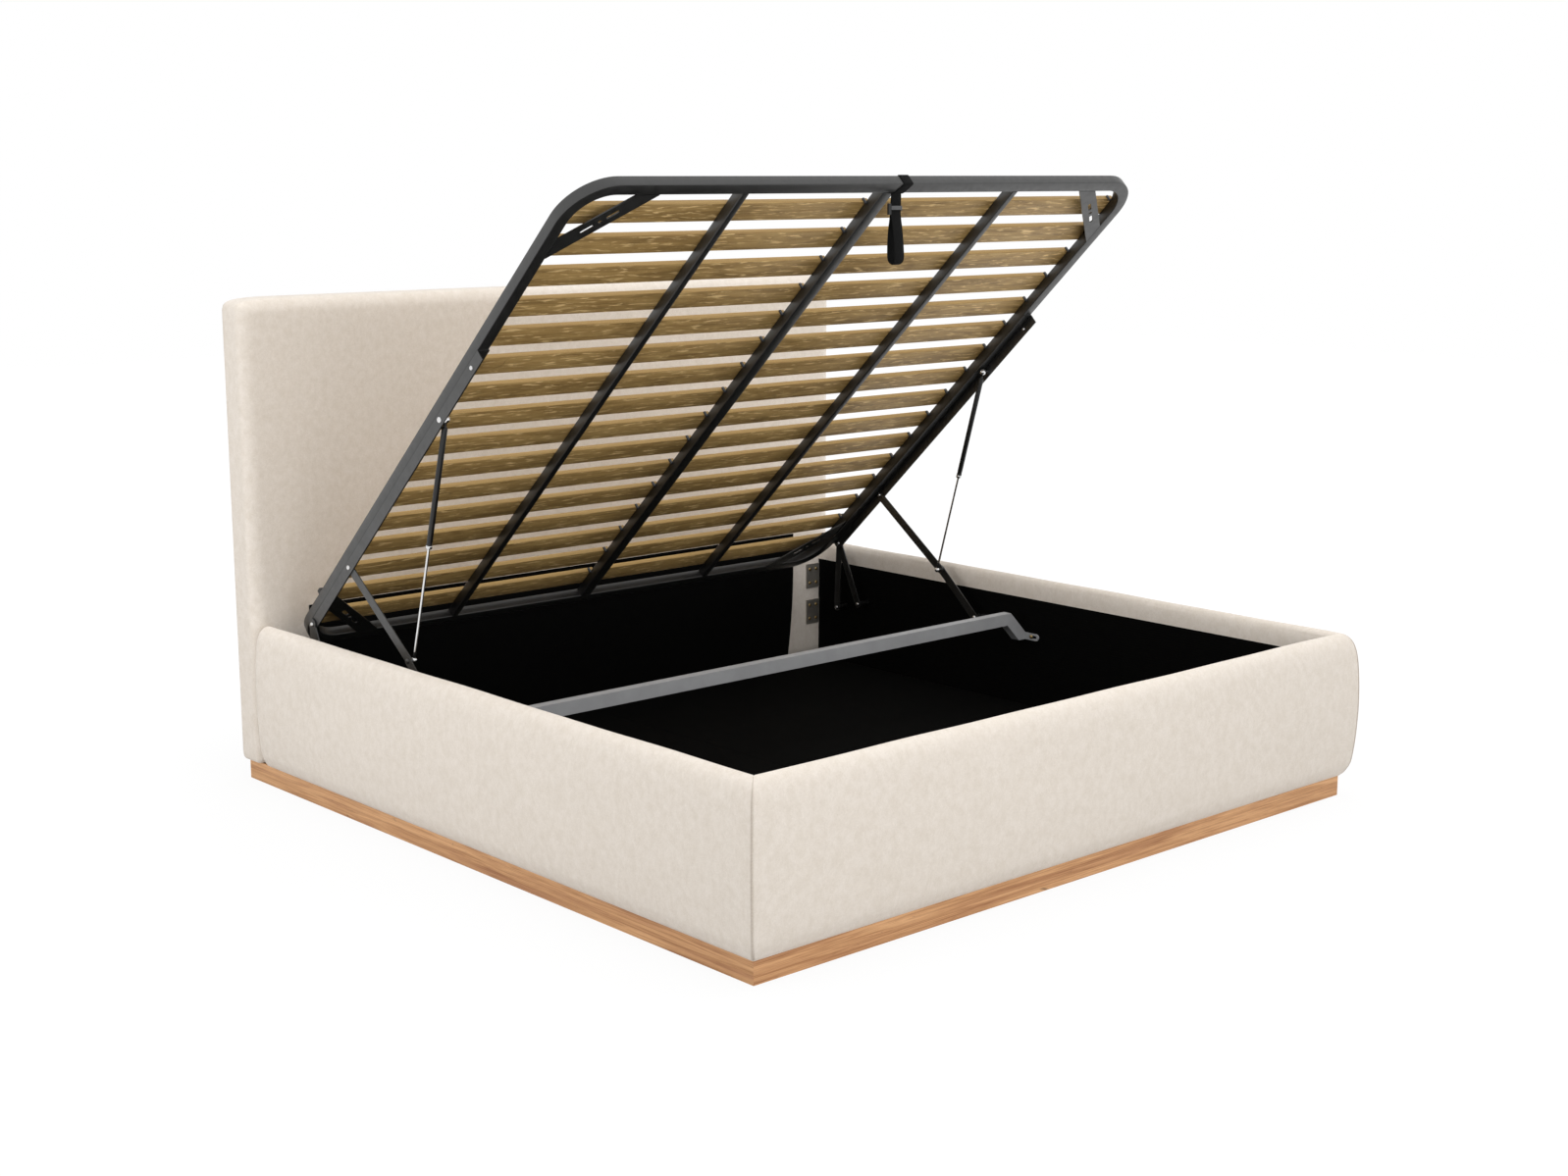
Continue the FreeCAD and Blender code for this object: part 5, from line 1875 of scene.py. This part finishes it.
    def block(
        self, skin: Skin, lift: LiftFrame, centre: Triple, size: Triple, slot: int
    ) -> None:
        """A small rounded block, turned with the strap.

        Args:
            skin: The mesh that it joins.
            lift: The frame that the strap hangs on.
            centre: Its middle across, off and down the strap, from the hang point.
            size: Its full sizes in the same order.
            slot: The material slot.
        """
        ring = rounded_rectangle(size[0], size[1], 1.2, 3)
        level = np.array([-0.5, -0.5, -0.42, 0.42, 0.5, 0.5]) * size[2]
        shrink = np.array([0.6, 0.86, 1.0, 1.0, 0.86, 0.6])
        across, deep = self.turned(np.array([1.0]))
        flat = np.array(centre[:2]) + ring * shrink[:, None, None]
        height = -(centre[2] + level[:, None, None])
        points = flat[..., 0:1] * across[0] + flat[..., 1:2] * deep[0] + height * UP
        hang = np.array([self.loop_centre - 1.5, *self.hang(lift)])
        skin.grid((points + hang) * MM, closed_columns=True, slot=slot, caps=True)

    def buckle(self, lift: LiftFrame) -> Piece:
        """The buckle: a cheek at each edge of the strap, a grey bar in front and a black one
        behind.

        Args:
            lift: The frame that the strap hangs on.

        Returns:
            The buckle.
        """
        level = self.buckle_drop + self.buckle_height / 2
        blocks = (
            ((-20.0, 0.0, level + 2.0), (8.0, 8.0, 28.0), 0),
            ((17.6, 0.0, level), (2.6, 8.4, 12.0), 1),
            ((0.4, -3.9, level - 1.0), (34.0, 2.4, 10.0), 1),
            ((0.4, 3.9, level - 1.0), (34.0, 2.4, 10.0), 0),
        )
        skin = Skin()
        for centre, size, slot in blocks:
            self.block(skin, lift, centre, size, slot)
        return skin.build("strap_slider", STEEL_EDGES)

    def make(self, palette: Palette, lift: LiftFrame) -> None:
        """Build the strap's three pieces.

        Args:
            palette: The finishes.
            lift: The frame that the strap hangs on.
        """
        keep(dress(self.wrap(lift), palette.webbing), "lift_frame", "webbing", "strap_wrap")
        keep(dress(self.loop(lift), palette.webbing), "handle", "webbing", "handle_loop")
        buckle = dress(self.buckle(lift), palette.plastic, palette.buckle)
        keep(buckle, "handle", "plastic", "strap_buckle")


# The studio


@dataclass(frozen=True)
class Lamp:
    """A square soft lamp: where it hangs, the point that it faces, its side in metres and
    its power in watts."""

    name: str
    place: Triple
    aim: Triple
    size: float
    power: float

    def hang(self) -> None:
        """Put the lamp into the scene. It lights the bed but isn't seen in its gloss."""
        data = bpy.data.lights.new(self.name, "AREA")
        data.shape = "SQUARE"
        data.size = self.size
        data.energy = self.power
        lamp = bpy.data.objects.new(self.name, data)
        lamp.visible_glossy = False
        away = np.array(self.place) - np.array(self.aim)
        away = away / np.linalg.norm(away)
        tilt, heading = math.acos(away[2]), math.atan2(away[1], away[0])
        lamp.location = self.place
        lamp.rotation_euler = (tilt, 0.0, heading + math.pi / 2)
        bpy.context.scene.collection.objects.link(lamp)


@dataclass(frozen=True)
class Studio:
    """The camera, the lamps and the pale floor."""

    eye: Triple = (-3.861, -4.272, 1.661)
    azimuth: float = -42.0
    fall: float = 10.85
    lens: float = 49.67
    sensor: float = 36.0
    sky_tone: Tone = (1.0, 0.99, 0.98, 1)
    sky_strength: float = 0.62
    floor_half: float = 14.0
    floor_drop: float = 0.5 * MM
    floor_tone: float = 0.55
    floor_glow: float = 1.05
    glow_share: float = 0.88
    shadow_near: float = 1.5
    shadow_far: float = 2.6
    lamps: tuple[Lamp, ...] = (
        Lamp("lamp_over", (0.2, -0.6, 4.6), (0.0, 0.0, 0.4), 4.0, 118.0),
        Lamp("lamp_left", (-4.4, 0.5, 1.7), (0.0, 0.2, 0.5), 2.4, 66.0),
        Lamp("lamp_foot", (-0.8, -5.2, 1.6), (0.0, 0.0, 0.5), 3.0, 84.0),
        Lamp("lamp_right", (3.4, -0.7, 0.5), (0.2, -0.1, 1.3), 2.0, 66.0),
    )

    def camera(self) -> None:
        """Look at the bed from beyond its left foot corner, from above the headboard."""
        data = bpy.data.cameras.new("camera")
        data.lens = self.lens
        data.sensor_width = self.sensor
        data.sensor_fit = "HORIZONTAL"
        camera = bpy.data.objects.new("camera", data)
        camera.location = self.eye
        camera.rotation_euler = (math.radians(90 - self.fall), 0.0, math.radians(self.azimuth))
        bpy.context.scene.collection.objects.link(camera)
        bpy.context.scene.camera = camera

    def seen_share(self, nodes: bpy.types.Nodes, links: bpy.types.NodeLinks) -> Socket:
        """One where the camera or a reflection looks, and zero for light that spreads.

        Args:
            nodes: The material's or the world's nodes.
            links: Its links.

        Returns:
            The share.
        """
        path = nodes.new("ShaderNodeLightPath")
        either = nodes.new("ShaderNodeMath")
        either.operation = "MAXIMUM"
        links.new(path.outputs["Is Camera Ray"], either.inputs[0])
        links.new(path.outputs["Is Glossy Ray"], either.inputs[1])
        return either.outputs[0]

    def world(self) -> None:
        """Light all round, and white where the camera or a reflection looks past the bed."""
        world = bpy.data.worlds.new("studio")
        bpy.context.scene.world = world
        world.use_nodes = True
        nodes, links = world.node_tree.nodes, world.node_tree.links
        nodes.clear()
        output = nodes.new("ShaderNodeOutputWorld")
        seen = nodes.new("ShaderNodeBackground")
        fill(seen, {"Color": WHITE, "Strength": 1.0})
        light = nodes.new("ShaderNodeBackground")
        fill(light, {"Color": self.sky_tone, "Strength": self.sky_strength})
        mix = nodes.new("ShaderNodeMixShader")
        sources = (self.seen_share(nodes, links), light.outputs[0], seen.outputs[0])
        for source, socket in zip(sources, mix.inputs):
            links.new(source, socket)
        links.new(mix.outputs[0], output.inputs[0])

    def floor(self) -> None:
        """A plain floor that shows white and keeps a faint shadow."""
        line = np.linspace(-self.floor_half, self.floor_half, 9)
        x, y = np.meshgrid(line, line, indexing="ij")
        level = np.full_like(x, -self.floor_drop)
        floor = surface("floor", np.stack([x, y, level], axis=-1), STEEL_EDGES)
        material = bpy.data.materials.new("floor_white")
        material.use_nodes = True
        nodes, links = material.node_tree.nodes, material.node_tree.links
        nodes.clear()
        output = nodes.new("ShaderNodeOutputMaterial")
        matte = nodes.new("ShaderNodeBsdfDiffuse")
        fill(matte, {"Color": grey(self.floor_tone)})
        glow = nodes.new("ShaderNodeEmission")
        fill(glow, {"Color": WHITE, "Strength": self.floor_glow})
        where = nodes.new("ShaderNodeTexCoord")
        reach = nodes.new("ShaderNodeVectorMath")
        reach.operation = "LENGTH"
        links.new(where.outputs["Object"], reach.inputs[0])
        fade = nodes.new("ShaderNodeMapRange")
        fill(fade, {"From Min": self.shadow_near, "From Max": self.shadow_far})
        fill(fade, {"To Min": self.glow_share, "To Max": 1.0})
        links.new(reach.outputs["Value"], fade.inputs["Value"])
        share = nodes.new("ShaderNodeMath")
        share.operation = "MULTIPLY"
        links.new(self.seen_share(nodes, links), share.inputs[0])
        links.new(fade.outputs["Result"], share.inputs[1])
        mix = nodes.new("ShaderNodeMixShader")
        sources = (share.outputs[0], matte.outputs[0], glow.outputs[0])
        for source, socket in zip(sources, mix.inputs):
            links.new(source, socket)
        links.new(mix.outputs[0], output.inputs[0])
        dress(floor, material)

    def make(self) -> None:
        """Set up the whole studio."""
        bpy.context.scene.view_settings.view_transform = "Standard"
        self.world()
        self.floor()
        for lamp in self.lamps:
            lamp.hang()


def main() -> None:
    """Build the bed's looks round the frame and set the studio."""
    logging.basicConfig(level=logging.INFO, format="%(name)s: %(message)s")
    studio = Studio()
    studio.camera()
    palette = Palette()
    BedBase().make(palette)
    Headboard().make(palette)
    lift = LiftFrame()
    lift.make(palette)
    Mechanism().make(palette, lift)
    StrapHandle().make(palette, lift)
    studio.make()


if __name__ == "__main__":
    main()
